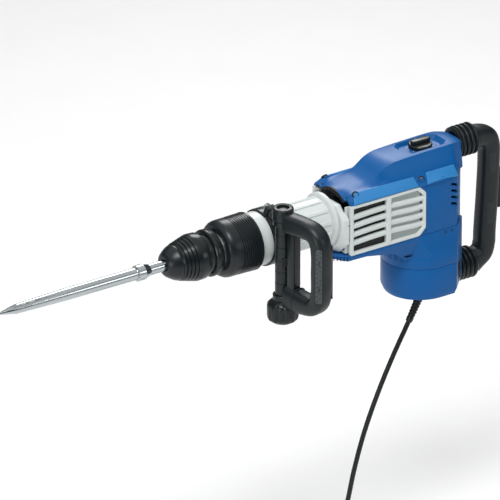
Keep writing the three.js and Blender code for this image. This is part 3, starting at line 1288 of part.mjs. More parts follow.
piece('clamp_band', 'blackPlastic', clampBandBody());
piece('clamp_bolt', 'brightSteel', clampBoltBody());
const postAxle = new THREE.Group();
postAxle.position.set(X_POST, -POST_OFFSET, 0);
hammer.add(postAxle);
piece('clamp_post', 'blackPlastic', postBody(), postAxle);
piece('post_cap', 'blackPlastic', postCapBody(), postAxle);
piece('handle_knob', 'blackPlastic', knobBody(), postAxle);
const bow = new THREE.Group();
bow.rotation.z = deg(BOW_TURN);
postAxle.add(bow);
piece('bow_handle', 'blackPlastic', bowHandleBody(), bow);
piece('bow_grip_pad', 'rubber', gripPadBody(), bow);

piece('rear_handle', 'blackPlastic', rearHandleBody());
piece('grip_switch', 'blackPlastic', gripSwitchBody());
piece('switch_module', 'blackPlastic', switchModuleBody());
piece('handle_strut_upper', 'brightSteel', strutBody(UPPER_ARM_Z));
piece('handle_strut_lower', 'brightSteel', strutBody(LOWER_ARM_Z));
piece('upper_bellows', 'rubber', bellowsBody(UPPER_ARM_Z));
piece('lower_bellows', 'rubber', bellowsBody(LOWER_ARM_Z));
piece('cord_boot', 'rubber', bootBody());
piece('mains_cord', 'rubber', mainsCordBody());
piece('cord_coil', 'rubber', coilBody());
piece('cord_tail', 'rubber', cordTailBody());
piece('plug', 'blackPlastic', plugBody());

export default hammer;
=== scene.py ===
# %% [markdown]
# # A demolition hammer, piece by piece
# The hammer is already packed as a frame of plain faceted solids. This lesson gives those solids their
# fine surface. The ends and widths of a piece are measured from the frame, its fine profile is given
# here, and it rides on the same body as the solid that it stands for, so that it still moves.
# %% Load the frame
import json
import math

import bmesh
import bpy
from mathutils import Matrix, Vector


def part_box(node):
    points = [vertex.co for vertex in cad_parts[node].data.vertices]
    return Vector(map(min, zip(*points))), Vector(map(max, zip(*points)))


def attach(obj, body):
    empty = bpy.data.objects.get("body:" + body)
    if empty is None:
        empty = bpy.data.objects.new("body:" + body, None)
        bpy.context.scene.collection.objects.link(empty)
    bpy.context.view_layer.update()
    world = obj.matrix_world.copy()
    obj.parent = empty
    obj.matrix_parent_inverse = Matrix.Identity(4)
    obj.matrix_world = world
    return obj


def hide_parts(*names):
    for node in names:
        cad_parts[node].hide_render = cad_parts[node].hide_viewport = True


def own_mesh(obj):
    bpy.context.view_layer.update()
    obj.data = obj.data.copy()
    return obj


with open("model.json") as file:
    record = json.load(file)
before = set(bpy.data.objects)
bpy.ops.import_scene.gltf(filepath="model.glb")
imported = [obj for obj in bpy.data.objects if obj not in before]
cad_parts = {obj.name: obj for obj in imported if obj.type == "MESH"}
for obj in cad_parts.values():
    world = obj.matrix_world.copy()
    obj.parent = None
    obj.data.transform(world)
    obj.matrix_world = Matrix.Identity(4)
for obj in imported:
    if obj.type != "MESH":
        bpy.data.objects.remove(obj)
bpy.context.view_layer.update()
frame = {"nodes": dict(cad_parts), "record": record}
NODES = frame["nodes"]
BODIES = frame["record"]["behaviour"]["bodies"]
BODY_OF = {node: body for body, members in BODIES.items() for node in members}
MM = 0.001

# %% [markdown]
# ## Camera, light and floor
# A long lens far away keeps the parallel lines of a machine nearly parallel. The camera
# stands at a point given by an azimuth and an elevation, and is turned towards an aim point.
# %% Camera
AZIMUTH = math.radians(-35.9)
ELEVATION = math.radians(24.5)
CAMERA_DISTANCE = 16.0
LENS_MM = 734.0
BACK = Vector((
    math.sin(AZIMUTH) * math.cos(ELEVATION),
    -math.cos(AZIMUTH) * math.cos(ELEVATION),
    math.sin(ELEVATION),
))
RIGHT = Vector((math.cos(AZIMUTH), math.sin(AZIMUTH), 0.0))
UP = BACK.cross(RIGHT)
ORBIT_CENTRE = Vector((-0.2, 0.0, 0.0))
AIM_LEFT, AIM_DOWN = 0.2151, 0.0799
STAND_POINT = ORBIT_CENTRE + BACK * CAMERA_DISTANCE
AIM_POINT = ORBIT_CENTRE - RIGHT * AIM_LEFT - UP * AIM_DOWN


def add_object(name, data):
    """A new object at the origin, linked into the scene."""
    made = bpy.data.objects.new(name, data)
    bpy.context.scene.collection.objects.link(made)
    return made


def add_camera():
    data = bpy.data.cameras.new("camera")
    data.lens = LENS_MM
    data.sensor_width = 36.0
    data.clip_end = 50.0
    away = (STAND_POINT - AIM_POINT).normalized()
    side = Vector((0, 0, 1)).cross(away).normalized()
    turn = Matrix((side, away.cross(side), away)).transposed()
    camera = add_object("camera", data)
    camera.matrix_world = Matrix.Translation(STAND_POINT) @ turn.to_4x4()
    bpy.context.scene.camera = camera
    return camera


camera = add_camera()
print("camera at", [round(c, 3) for c in camera.location])

# %% [markdown]
# Soft boxes are large area lights. A big one overhead and to the left makes the long highlights on the
# plastic, a weaker one in front fills the shadows, and a rim light behind separates black from white.
# %% Lights
def add_light(name, place, size, power):
    data = bpy.data.lights.new(name, "AREA")
    data.shape = "SQUARE"
    data.size = size
    data.energy = power
    light = add_object(name, data)
    light.location = place
    light.rotation_euler = (LIT_POINT - Vector(place)).to_track_quat("-Z", "Y").to_euler()
    return light


LIT_POINT = Vector((-0.35, 0.0, -0.05))
for name, place, size, power in (
    ("key softbox", (-1.3, -1.0, 2.4), 1.0, 48),
    ("front softbox", (0.9, -2.4, 0.9), 0.9, 8),
    ("left softbox", (-2.6, -0.9, 0.3), 0.9, 14),
    ("rim softbox", (0.9, 1.8, 1.6), 1.0, 26),
):
    add_light(name, place, size, power)


def add_world(floor_glow, horizon, overhead):
    """A studio sky: dark walls round the horizon and a bright ceiling, so bare metal has something to
    mirror. The camera itself sees an even pale backdrop."""
    world = bpy.data.worlds.new("studio")
    world.use_nodes = True
    tree = world.node_tree
    background = tree.nodes["Background"]
    direction = tree.nodes.new("ShaderNodeTexCoord").outputs["Generated"]
    upward = tree.nodes.new("ShaderNodeSeparateXYZ")
    tree.links.new(direction, upward.inputs[0])
    ramp = tree.nodes.new("ShaderNodeValToRGB")
    tree.links.new(upward.outputs["Z"], ramp.inputs["Fac"])
    stops = [(0.0, floor_glow), (0.06, horizon), (0.42, horizon), (0.75, overhead)]
    while len(ramp.color_ramp.elements) < len(stops):
        ramp.color_ramp.elements.new(0.5)
    for element, (place, level) in zip(ramp.color_ramp.elements, stops):
        element.position = place
        element.color = (level, level, level, 1.0)
    seen = tree.nodes.new("ShaderNodeMix")
    seen.data_type = "RGBA"
    tree.links.new(tree.nodes.new("ShaderNodeLightPath").outputs["Is Camera Ray"], seen.inputs[0])
    tree.links.new(ramp.outputs["Color"], seen.inputs[6])
    seen.inputs[7].default_value = (0.9, 0.9, 0.9, 1.0)
    tree.links.new(seen.outputs[2], background.inputs["Color"])
    bpy.context.scene.world = world


add_world(floor_glow=0.4, horizon=0.03, overhead=0.8)
bpy.context.scene.view_settings.view_transform = "Standard"

# %% [markdown]
# ## Materials
# Nothing on a power tool is one flat colour. Moulded plastic has a fine leather-like texture, rubber is
# rougher, paint has a slight orange peel, and hands and dust leave their marks. Those effects are shared,
# so each is a node group that is built once and placed in every material with that material's own values.
# %% Group helpers
def new_group(name, inputs, outputs):
    tree = bpy.data.node_groups.new(name, "ShaderNodeTree")
    for label, kind, value in inputs:
        socket = tree.interface.new_socket(label, in_out="INPUT", socket_type=kind)
        socket.default_value = value
    for label, kind in outputs:
        tree.interface.new_socket(label, in_out="OUTPUT", socket_type=kind)
    return tree, tree.nodes.new("NodeGroupInput"), tree.nodes.new("NodeGroupOutput")


def add_node(tree, kind, settings=None, links=None, values=None):
    node = tree.nodes.new(kind)
    for key, value in (settings or {}).items():
        setattr(node, key, value)
    for socket, value in (values or {}).items():
        node.inputs[socket].default_value = value
    for socket, source in (links or {}).items():
        tree.links.new(source, node.inputs[socket])
    return node


def ramp_range(tree, source, low, high, out_low, out_high):
    limits = {"From Min": low, "From Max": high, "To Min": out_low, "To Max": out_high}
    return add_node(tree, "ShaderNodeMapRange", links={"Value": source}, values=limits).outputs["Result"]


def add_noise(tree, place, size, detail, roughness):
    return add_node(tree, "ShaderNodeTexNoise", links={"Vector": place, "Scale": size},
                    values={"Detail": detail, "Roughness": roughness}).outputs["Fac"]


def multiply(tree, first, second):
    return add_node(tree, "ShaderNodeMath", settings={"operation": "MULTIPLY"},
                    links={0: first, 1: second}).outputs[0]


# %% Shared effect: moulded grain
def build_grain_group():
    tree, entry, leave = new_group(
        "Moulded grain",
        [("Grain size", "NodeSocketFloat", 1400.0), ("Peel size", "NodeSocketFloat", 160.0),
         ("Peel share", "NodeSocketFloat", 0.4)],
        [("Height", "NodeSocketFloat"), ("Speckle", "NodeSocketFloat")],
    )
    place = tree.nodes.new("ShaderNodeTexCoord").outputs["Object"]
    fine = add_noise(tree, place, entry.outputs["Grain size"], 3.0, 0.6)
    peel = add_noise(tree, place, entry.outputs["Peel size"], 1.0, 0.5)
    mix = add_node(tree, "ShaderNodeMix", settings={"data_type": "FLOAT"},
                   links={0: entry.outputs["Peel share"], 2: fine, 3: peel})
    tree.links.new(mix.outputs[0], leave.inputs["Height"])
    tree.links.new(fine, leave.inputs["Speckle"])
    return tree


GRAIN = build_grain_group()


# %% Shared effect: handling marks and dust
def build_marks_group():
    tree, entry, leave = new_group(
        "Handling marks",
        [("Cloud size", "NodeSocketFloat", 14.0), ("Scratch size", "NodeSocketFloat", 90.0),
         ("Scratch amount", "NodeSocketFloat", 0.2)],
        [("Clouds", "NodeSocketFloat"), ("Scratches", "NodeSocketFloat"), ("Dust", "NodeSocketFloat")],
    )
    place = tree.nodes.new("ShaderNodeTexCoord").outputs["Object"]
    clouds = add_noise(tree, place, entry.outputs["Cloud size"], 4.0, 0.55)
    turned = add_node(tree, "ShaderNodeMapping", links={"Vector": place},
                      values={"Rotation": (0.5, 0.9, 0.3), "Scale": (1.0, 7.0, 3.0)})
    lines = add_noise(tree, turned.outputs["Vector"], entry.outputs["Scratch size"], 5.0, 0.7)
    sharp = ramp_range(tree, lines, 0.62, 0.7, 0.0, 1.0)
    normal = tree.nodes.new("ShaderNodeNewGeometry").outputs["Normal"]
    upward = add_node(tree, "ShaderNodeSeparateXYZ", links={0: normal}).outputs["Z"]
    facing = ramp_range(tree, upward, 0.55, 1.0, 0.0, 1.0)
    tree.links.new(clouds, leave.inputs["Clouds"])
    tree.links.new(multiply(tree, sharp, entry.outputs["Scratch amount"]), leave.inputs["Scratches"])
    tree.links.new(multiply(tree, facing, clouds), leave.inputs["Dust"])
    return tree


MARKS = build_marks_group()
print("effect groups:", GRAIN.name, "and", MARKS.name)


# %% [markdown]
# One function makes every solid finish. It mixes a light and a dark tone of the colour through the cloud
# mask, adds the scratches on top, varies the roughness with the same masks and gives the grain to a Bump
# node. The Principled shader stays in the material itself.
# %% Finish builder
DUST_COLOUR = (0.5, 0.5, 0.48)


def finish_material(name, color, rough, metallic=0.0, tone=0.12, scratch=0.15, bump=0.05, grain=1400.0,
                    peel=0.4, specular=0.5, dust=0.05):
    material = bpy.data.materials.new(name)
    material.use_nodes = True
    tree = material.node_tree
    shader = tree.nodes["Principled BSDF"]
    grain_node = add_node(tree, "ShaderNodeGroup", settings={"node_tree": GRAIN},
                          values={"Grain size": grain, "Peel share": peel})
    marks = add_node(tree, "ShaderNodeGroup", settings={"node_tree": MARKS},
                     values={"Scratch amount": scratch}).outputs
    dark = [c * (1 - tone) for c in color]
    light = [min(1.0, c * (1 + tone) + 0.004) for c in color]
    worn = [min(1.0, c * 1.5 + 0.03) for c in color]
    base = add_node(tree, "ShaderNodeMix", settings={"data_type": "RGBA"}, links={0: marks["Clouds"]},
                    values={6: (*dark, 1), 7: (*light, 1)})
    scuffed = add_node(tree, "ShaderNodeMix", settings={"data_type": "RGBA"},
                       links={0: marks["Scratches"], 6: base.outputs[2]}, values={7: (*worn, 1)})
    dusty = add_node(tree, "ShaderNodeMath", settings={"operation": "MULTIPLY"}, links={0: marks["Dust"]},
                     values={1: dust})
    final = add_node(tree, "ShaderNodeMix", settings={"data_type": "RGBA"},
                     links={0: dusty.outputs[0], 6: scuffed.outputs[2]}, values={7: (*DUST_COLOUR, 1)})
    tree.links.new(final.outputs[2], shader.inputs["Base Color"])
    roughness = ramp_range(tree, marks["Clouds"], 0.25, 0.75, max(0.04, rough - 0.06), rough + 0.07)
    tree.links.new(roughness, shader.inputs["Roughness"])
    relief = add_node(tree, "ShaderNodeBump", links={"Height": grain_node.outputs["Height"]},
                      values={"Strength": bump, "Distance": 0.0004})
    tree.links.new(relief.outputs["Normal"], shader.inputs["Normal"])
    shader.inputs["Metallic"].default_value = metallic
    shader.inputs["Specular IOR Level"].default_value = specular
    return material


# %% The finishes
BLUE_SHELL = finish_material("blue shell", (0.0, 0.092, 0.310), 0.33, bump=0.10, tone=0.10, specular=0.17)
# Lighter copy of the shell's blue: painted highlight on the hood's shoulder ledges and the rear corner
# ridges, where they face the light.
BLUE_PAINTED_HIGHLIGHT = finish_material("blue painted highlight", (0.020, 0.200, 0.50), 0.36, bump=0.08, tone=0.08, specular=0.4)
SILVER_PAINT = finish_material("silver paint", (0.62, 0.67, 0.66), 0.42, grain=2200.0, tone=0.05,
                               scratch=0.08)
# Darker copy of the silver paint: painted shade for the gaps behind the rear vent louvres.
SHADED_GREY_CASTING = finish_material("shaded casting", (0.33, 0.38, 0.37), 0.5, bump=0.06, tone=0.1)
BLACK_SHELL = finish_material("charcoal shell", (0.006, 0.010, 0.011), 0.27, bump=0.08, tone=0.2,
                              scratch=0.08, specular=0.3, dust=0.02)
SOFT_GRIP = finish_material("soft grip", (0.007, 0.011, 0.013), 0.36, bump=0.2, grain=1000.0, peel=0.2,
                            tone=0.2, scratch=0.05, specular=0.3, dust=0.02)
SOFT_INSET = finish_material("soft inset", (0.035, 0.045, 0.048), 0.5, bump=0.3, grain=900.0, tone=0.15)
RUBBER = finish_material("black rubber", (0.006, 0.009, 0.011), 0.3, bump=0.08, tone=0.2, scratch=0.05,
                         specular=0.3, dust=0.02)
# Near-black, mostly painted shade: the vent hollow, the lip comb's band and wall, the screw wells, the side
# vent dots and the grip dimples; it also colours the dark joint lines of the casting seams and the bow seam,
# and the post clip.
DEEP_BLACK = finish_material("vent shadow", (0.006, 0.007, 0.008), 0.7, bump=0.1)
BRIGHT_STEEL = finish_material("ground steel", (0.44, 0.48, 0.49), 0.17, metallic=1.0, bump=0.03, tone=0.07,
                               grain=2600.0)
DARK_STEEL = finish_material("oiled steel", (0.20, 0.21, 0.22), 0.34, metallic=1.0, bump=0.08, tone=0.18)
ALUMINIUM = finish_material("cast aluminium", (0.52, 0.53, 0.54), 0.42, metallic=1.0, bump=0.2, grain=900.0)
COPPER = finish_material("wound copper", (0.60, 0.24, 0.10), 0.36, metallic=1.0, bump=0.2, tone=0.2)
CARBON = finish_material("pressed carbon", (0.03, 0.03, 0.032), 0.65, bump=0.3, tone=0.25)
BOARD = finish_material("circuit board", (0.03, 0.13, 0.05), 0.45, bump=0.1, tone=0.15)
PAD_PRINT = finish_material("pad print", (0.72, 0.76, 0.78), 0.5, bump=0.02, tone=0.05, scratch=0.3)
BRASS = finish_material("plug pins", (0.72, 0.58, 0.30), 0.28, metallic=1.0)
FLOOR_FINISH = finish_material("studio floor", (0.93, 0.93, 0.93), 0.75, bump=0.0, tone=0.01, scratch=0.0,
                               dust=0.0)
print("finishes:", len(bpy.data.materials))

# %% [markdown]
# The parts inside the machine are already the right shape as solids, so they only change their material.
# %% Finishes on the inner parts
INNER_FINISHES = {
    DARK_STEEL: ["sleeve_spring", "locking_pin_upper", "locking_pin_lower", "tool_holder", "hammer_tube",
                 "beat_piece", "ram", "crank_gear", "stator"],
    ALUMINIUM: ["chuck_carrier", "drive_piston", "connecting_rod", "bearing_bridge"],
    BRIGHT_STEEL: ["wrist_pin", "crank_bearing", "motor_bearing_upper", "motor_bearing_lower", "clamp_bolt",
                   "handle_strut_upper", "handle_strut_lower"],
    COPPER: ["armature"],
    CARBON: ["carbon_brush_left", "carbon_brush_right"],
    BOARD: ["electronics_module"],
    BLACK_SHELL: ["cooling_fan", "switch_module"],
}
for finish, names in INNER_FINISHES.items():
    for name in names:
        slots = NODES[name].data.materials
        slots.clear()
        slots.append(finish)
print("inner parts finished:", sum(len(names) for names in INNER_FINISHES.values()))

# %% [markdown]
# ## Tools for making pieces
# Sizes are written in millimetres and become metres when a mesh is made. `span` reads where a solid of the
# frame starts and ends, `add_piece` turns a bmesh into a finished piece, marks the edges that should stay
# crisp and lets the piece ride on the body of the solid that it belongs to.
# %% Measuring and finishing helpers
SIDES = ((-1, "left"), (1, "right"))


def span(node, axis):
    low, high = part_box(node)
    return low["xyz".index(axis)] / MM, high["xyz".index(axis)] / MM


def centre_of(node, axis):
    return sum(span(node, axis)) / 2


def mesh_of(name, shape):
    mesh = bpy.data.meshes.new(name)
    shape.to_mesh(mesh)
    shape.free()
    return mesh


def shape_of(mesh):
    shape = bmesh.new()
    shape.from_mesh(mesh)
    return shape


def plain_mesh(holder):
    """A new mesh of the object as its modifiers leave it."""
    return bpy.data.meshes.new_from_object(holder.evaluated_get(bpy.context.evaluated_depsgraph_get()))


def set_creases(mesh, crease_degrees):
    """Smooth shading all over, with crisp edges where two faces meet at more than the crease."""
    shape = shape_of(mesh)
    limit = math.radians(crease_degrees)
    for edge in shape.edges:
        edge.smooth = len(edge.link_faces) == 2 and edge.calc_face_angle(0.0) < limit
    for face in shape.faces:
        face.smooth = True
    shape.to_mesh(mesh)
    shape.free()


def carry(piece, node, replace=True):
    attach(piece, BODY_OF[node])
    if replace:
        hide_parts(node)
    return piece


def add_piece(name, shape, finish, node, replace=False, crease=38):
    bmesh.ops.recalc_face_normals(shape, faces=shape.faces)
    mesh = mesh_of(name, shape)
    mesh.transform(Matrix.Scale(MM, 4))
    set_creases(mesh, crease)
    mesh.materials.append(finish)
    return carry(add_object(name, mesh), node, replace)


# %% Shared steps of a shape
X_TO_Z = Matrix(((0, 1, 0, 0), (0, 0, 1, 0), (1, 0, 0, 0), (0, 0, 0, 1)))


def move(shape, matrix):
    bmesh.ops.transform(shape, matrix=matrix, verts=shape.verts)
    return shape


def round_edges(shape, radius, segments):
    bmesh.ops.bevel(shape, geom=list(shape.edges), offset=radius, segments=segments, profile=0.5,
                    affect="EDGES", clamp_overlap=True)


def join_rings(shape, rings, closed=False):
    """Faces between neighbouring rings. A ring of one point is a pole. A closed row of rings meets itself
    again, and an open one gets a cap on each end that isn't a pole."""
    for first, second in zip(rings, rings[1:] + rings[:1] if closed else rings[1:]):
        count = max(len(first), len(second))
        for i in range(count):
            j = (i + 1) % count
            corners = (first[i % len(first)], second[i % len(second)], second[j % len(second)],
                       first[j % len(first)])
            shape.faces.new(list(dict.fromkeys(corners)))
    for end in (rings[0], rings[-1]):
        if not closed and len(end) > 1:
            shape.faces.new(end)


def groove(start, radius, depth, stops):
    """Four points of a profile: down into a groove, along its floor and up again."""
    down, along, up = stops
    return [(start, radius), (start + down, radius - depth), (start + along, radius - depth),
            (start + up, radius)]


def bump_shape(radius, flatness, segments):
    shape = bmesh.new()
    bmesh.ops.create_uvsphere(shape, u_segments=segments, v_segments=6, radius=radius)
    return move(shape, Matrix.Diagonal((1, flatness, 1, 1)))


# %% Turned, swept and plate shapes
def turned_shape(profile, segments=96, centre=(0, 0, 0), axis="X"):
    """A turned body from (station, radius) pairs. A radius of 0 closes the body in a point."""
    shape = bmesh.new()
    rings = []
    for station, radius in profile:
        turns = [2 * math.pi * i / segments for i in range(segments if radius > 0 else 1)]
        rings.append([shape.verts.new((station, radius * math.sin(a), radius * math.cos(a))) for a in turns])
    join_rings(shape, rings, closed=profile[0][1] > 0)
    if axis == "Z":
        move(shape, X_TO_Z)
    return move(shape, Matrix.Translation(centre))


def smooth_path(points, steps):
    """Points on a centripetal curve through the given ones."""
    knots = [Vector(p) for p in points]
    knots = [2 * knots[0] - knots[1]] + knots + [2 * knots[-1] - knots[-2]]
    result = []
    for k in range(1, len(knots) - 2):
        p = knots[k - 1:k + 3]
        t = [0.0]
        for a, b in zip(p, p[1:]):
            t.append(t[-1] + max((b - a).length, 1e-6) ** 0.5)
        for i in range(steps):
            s = t[1] + (t[2] - t[1]) * i / steps
            a = [p[n].lerp(p[n + 1], (s - t[n]) / (t[n + 1] - t[n])) for n in range(3)]
            b = [a[n].lerp(a[n + 1], (s - t[n]) / (t[n + 2] - t[n])) for n in range(2)]
            result.append(b[0].lerp(b[1], (s - t[1]) / (t[2] - t[1])))
    result.append(knots[-2])
    return result


def swept_shape(path, section_at):
    """A body swept along a path in the x-z plane. A section is a list of (across, outward) pairs."""
    shape = bmesh.new()
    across = Vector((0, 1, 0))
    rings = []
    for i, point in enumerate(path):
        ahead = path[min(i + 1, len(path) - 1)] - path[max(i - 1, 0)]
        outward = across.cross(ahead.normalized())
        section = section_at(i / (len(path) - 1))
        rings.append([shape.verts.new(point + across * a + outward * b) for a, b in section])
    join_rings(shape, rings)
    return shape


def rounded_box(half_a, half_b, power=4.0, count=48):
    """A soft rectangle as a super-ellipse. A higher power makes squarer corners."""
    points = []
    for i in range(count):
        angle = 2 * math.pi * i / count
        c, s = math.cos(angle), math.sin(angle)
        points.append((
            half_a * math.copysign(abs(c) ** (2 / power), c),
            half_b * math.copysign(abs(s) ** (2 / power), s),
        ))
    return points


def plate_shape(loops, thickness, bevel, place, segments=3):
    """A flat plate with holes: filled closed curves with depth and rounded edges. It is made centred on
    z = 0 and then put in its place."""
    curve = bpy.data.curves.new("plate", "CURVE")
    curve.dimensions = "2D"
    curve.fill_mode = "BOTH"
    curve.extrude = thickness / 2 - bevel
    curve.bevel_depth = bevel
    curve.bevel_resolution = segments
    curve.offset = -bevel
    for loop in loops:
        spline = curve.splines.new("POLY")
        spline.points.add(len(loop) - 1)
        for point, (a, b) in zip(spline.points, loop):
            point.co = (a, b, 0, 1)
        spline.use_cyclic_u = True
    holder = add_object("plate", curve)
    mesh = plain_mesh(holder)
    bpy.data.objects.remove(holder)
    bpy.data.curves.remove(curve)
    shape = shape_of(mesh)
    bpy.data.meshes.remove(mesh)
    bmesh.ops.remove_doubles(shape, verts=shape.verts, dist=0.002)
    return move(shape, place)


def round_corners(points, radius, steps=5):
    """The same closed outline with its corners rounded."""
    result = []
    count = len(points)
    for i in range(count):
        before, here, after = (Vector(points[(i + k) % count]) for k in (-1, 0, 1))
        reach = min(radius, (before - here).length * 0.45, (after - here).length * 0.45)
        start = here + (before - here).normalized() * reach
        end = here + (after - here).normalized() * reach
        for k in range(steps + 1):
            t = k / steps
            point = start * (1 - t) ** 2 + here * 2 * t * (1 - t) + end * t ** 2
            result.append((point.x, point.y))
    return result


# %% [markdown]
# A housing of the frame has the right outline but knife-sharp edges. Real castings and mouldings have a
# radius on every edge, and that radius is what catches the light. A merged copy of the solid gets a Bevel
# modifier that only works on edges sharper than an angle, and it is made plain before it rides.
# %% Rounded copies of housings
def rounded_copy(node, finish, width, segments=3):
    shape = shape_of(NODES[node].data)
    bmesh.ops.remove_doubles(shape, verts=shape.verts, dist=0.02 * MM)
    bmesh.ops.dissolve_limit(shape, angle_limit=math.radians(1.0), verts=shape.verts, edges=shape.edges)
    piece = add_object(node + "_shell", mesh_of(node + "_shell", shape))
    bevel = piece.modifiers.new("edge radius", "BEVEL")
    bevel.width = width * MM
    bevel.segments = segments
    bevel.limit_method = "ANGLE"
    bevel.angle_limit = math.radians(24)
    made = plain_mesh(piece)
    piece.modifiers.clear()
    piece.data = made
    made.materials.clear()
    made.materials.append(finish)
    set_creases(made, 50)
    return carry(piece, node)


# %% [markdown]
# ## Geometry Nodes for what repeats
# Ribs, dimples, slats, teeth and screws are one small shape repeated by a rule. Two trees cover all of
# them. The first sets copies in a row with an even step, and every second one may be shifted. The second
# turns copies about an axis. The small shape is made off centre, so that a plain turn puts it in its place.
# %% Tree: copies in a row
def start_tree(name, sockets):
    tree = bpy.data.node_groups.new(name, "GeometryNodeTree")
    shared = [("Copy of", "NodeSocketObject", None), ("Finish", "NodeSocketMaterial", None),
              ("Count", "NodeSocketInt", 4)]
    for label, kind, value in shared + sockets:
        socket = tree.interface.new_socket(label, in_out="INPUT", socket_type=kind)
        if value is not None:
            socket.default_value = value
    tree.interface.new_socket("Geometry", in_out="OUTPUT", socket_type="NodeSocketGeometry")
    return tree, tree.nodes.new("NodeGroupInput"), tree.nodes.new("NodeGroupOutput")


def close_tree(tree, entry, leave, place, turn=None):
    """Copies on points at the places, made real and dressed in their finish."""
    points = add_node(tree, "GeometryNodePoints", links={"Count": entry.outputs["Count"], "Position": place})
    source = add_node(tree, "GeometryNodeObjectInfo", links={"Object": entry.outputs["Copy of"]})
    made = add_node(tree, "GeometryNodeInstanceOnPoints",
                    links={"Points": points.outputs[0], "Instance": source.outputs["Geometry"],
                           **(turn or {})})
    real = add_node(tree, "GeometryNodeRealizeInstances", links={"Geometry": made.outputs[0]})
    dressed = add_node(tree, "GeometryNodeSetMaterial",
                       links={"Geometry": real.outputs[0], "Material": entry.outputs["Finish"]})
    tree.links.new(dressed.outputs[0], leave.inputs["Geometry"])


def build_row_tree():
    tree, entry, leave = start_tree("Copies in a row", [
        ("Start", "NodeSocketVector", (0, 0, 0)), ("Step", "NodeSocketVector", (0.01, 0, 0)),
        ("Odd shift", "NodeSocketVector", (0, 0, 0)),
    ])
    index = tree.nodes.new("GeometryNodeInputIndex").outputs[0]
    odd = add_node(tree, "ShaderNodeMath", settings={"operation": "MODULO"}, links={0: index},
                   values={1: 2.0})
    along = add_node(tree, "ShaderNodeVectorMath", settings={"operation": "SCALE"},
                     links={0: entry.outputs["Step"], "Scale": index})
    shift = add_node(tree, "ShaderNodeVectorMath", settings={"operation": "SCALE"},
                     links={0: entry.outputs["Odd shift"], "Scale": odd.outputs[0]})
    moved = add_node(tree, "ShaderNodeVectorMath", settings={"operation": "ADD"},
                     links={0: along.outputs[0], 1: shift.outputs[0]})
    place = add_node(tree, "ShaderNodeVectorMath", settings={"operation": "ADD"},
                     links={0: moved.outputs[0], 1: entry.outputs["Start"]})
    close_tree(tree, entry, leave, place.outputs[0])
    return tree


ROW = build_row_tree()


# %% Tree: copies turned about an axis
def build_ring_tree():
    tree, entry, leave = start_tree("Copies round an axis", [
        ("Centre", "NodeSocketVector", (0, 0, 0)), ("Axis", "NodeSocketVector", (1, 0, 0)),
        ("First angle", "NodeSocketFloat", 0.0), ("Angle step", "NodeSocketFloat", 0.5),
    ])
    index = tree.nodes.new("GeometryNodeInputIndex").outputs[0]
    swing = add_node(tree, "ShaderNodeMath", settings={"operation": "MULTIPLY_ADD"},
                     links={0: index, 1: entry.outputs["Angle step"], 2: entry.outputs["First angle"]})
    turn = add_node(tree, "FunctionNodeAxisAngleToRotation",
                    links={"Axis": entry.outputs["Axis"], "Angle": swing.outputs[0]})
    close_tree(tree, entry, leave, entry.outputs["Centre"], {"Rotation": turn.outputs[0]})
    return tree


RING = build_ring_tree()
print("trees:", ROW.name, "and", RING.name)


# %% [markdown]
# A modifier's inputs are set by the socket's identifier. The result is turned into a plain mesh, and the
# modifier and the small source shape are taken away again, so that the piece is only its own mesh.
# %% Running a tree
def copies(name, tree, source_shape, finish, node, crease=38, **values):
    bmesh.ops.recalc_face_normals(source_shape, faces=source_shape.faces)
    source_mesh = mesh_of(name + " source", source_shape)
    source_mesh.transform(Matrix.Scale(MM, 4))
    source = add_object(name + " source", source_mesh)
    piece = add_object(name, bpy.data.meshes.new(name))
    modifier = piece.modifiers.new(tree.name, "NODES")
    modifier.node_group = tree
    inputs = {"Copy of": source, "Finish": finish}
    for label, value in values.items():
        inputs[label.replace("_", " ").capitalize()] = value
    for item in tree.interface.items_tree:
        if item.in_out == "INPUT" and item.name in inputs:
            value = inputs[item.name]
            if item.name in ("Start", "Step", "Odd shift", "Centre"):
                value = [c * MM for c in value]
            modifier[item.identifier] = value
    made = plain_mesh(piece)
    piece.modifiers.clear()
    piece.data = made
    set_creases(made, crease)
    bpy.data.objects.remove(source)
    return carry(piece, node, replace=False)


def block_shape(low, high, bevel=0.0, segments=2, place=Matrix.Identity(4)):
    """A small block between two corners, with rounded edges."""
    shape = bmesh.new()
    bmesh.ops.create_cube(shape, size=1.0)
    for vert in shape.verts:
        vert.co = Vector(low[k] + (vert.co[k] + 0.5) * (high[k] - low[k]) for k in range(3))
    if bevel > 0:
        round_edges(shape, bevel, segments)
    return move(shape, place)

# %% [markdown]
# ## The mains cord
# A rubber cord of 8 mm hangs from its sleeve under the motor and lies on the floor in a coil, as it is put
# away. The coil has three layers of four turns. Every turn changes to its next place in the same short
# stretch, all at once, so the turns stay one cord thickness apart. The line is one curve with a round
# bevel, which keeps the real length and thickness exact.
# %% The cord's line
CORD_RADIUS = 4.0
FLOOR_Z = -605.0
BOOT_ROOT = Vector((-127, 0, -168))
BOOT_TIP = Vector((-157.06, 0.0, -222.22))
HANGING_RUN = [BOOT_TIP, (-188, 0, -276), (-216, 0, -331), (-242, 0, -392), (-262, 0, -455),
               (-274, 1, -508), (-279, 7, -543), (-283, 22, -568), (-289.5, 28.5, -575.5),
               (-303, 32.5, -581.5)]
COIL_CENTRE = Vector((-325.0, 0.0, 0.0))
COIL_RADII = [34.0, 42.0, 50.0, 58.0]
COIL_LAYERS = 3
LAND_ANGLE = math.radians(100)
CHANGE_START = math.radians(270)
CHANGE_LENGTH = math.radians(60)
POINTS_PER_TURN = 36


def coil_places():
    """The turns' radii and heights, from the top layer down, outwards and inwards by turns."""
    places = []
    for layer in range(COIL_LAYERS):
        height = FLOOR_Z + CORD_RADIUS * (1 + 2 * (COIL_LAYERS - 1 - layer))
        radii = COIL_RADII if layer % 2 == 0 else COIL_RADII[::-1]
        places += [(radius, height) for radius in radii]
    return places


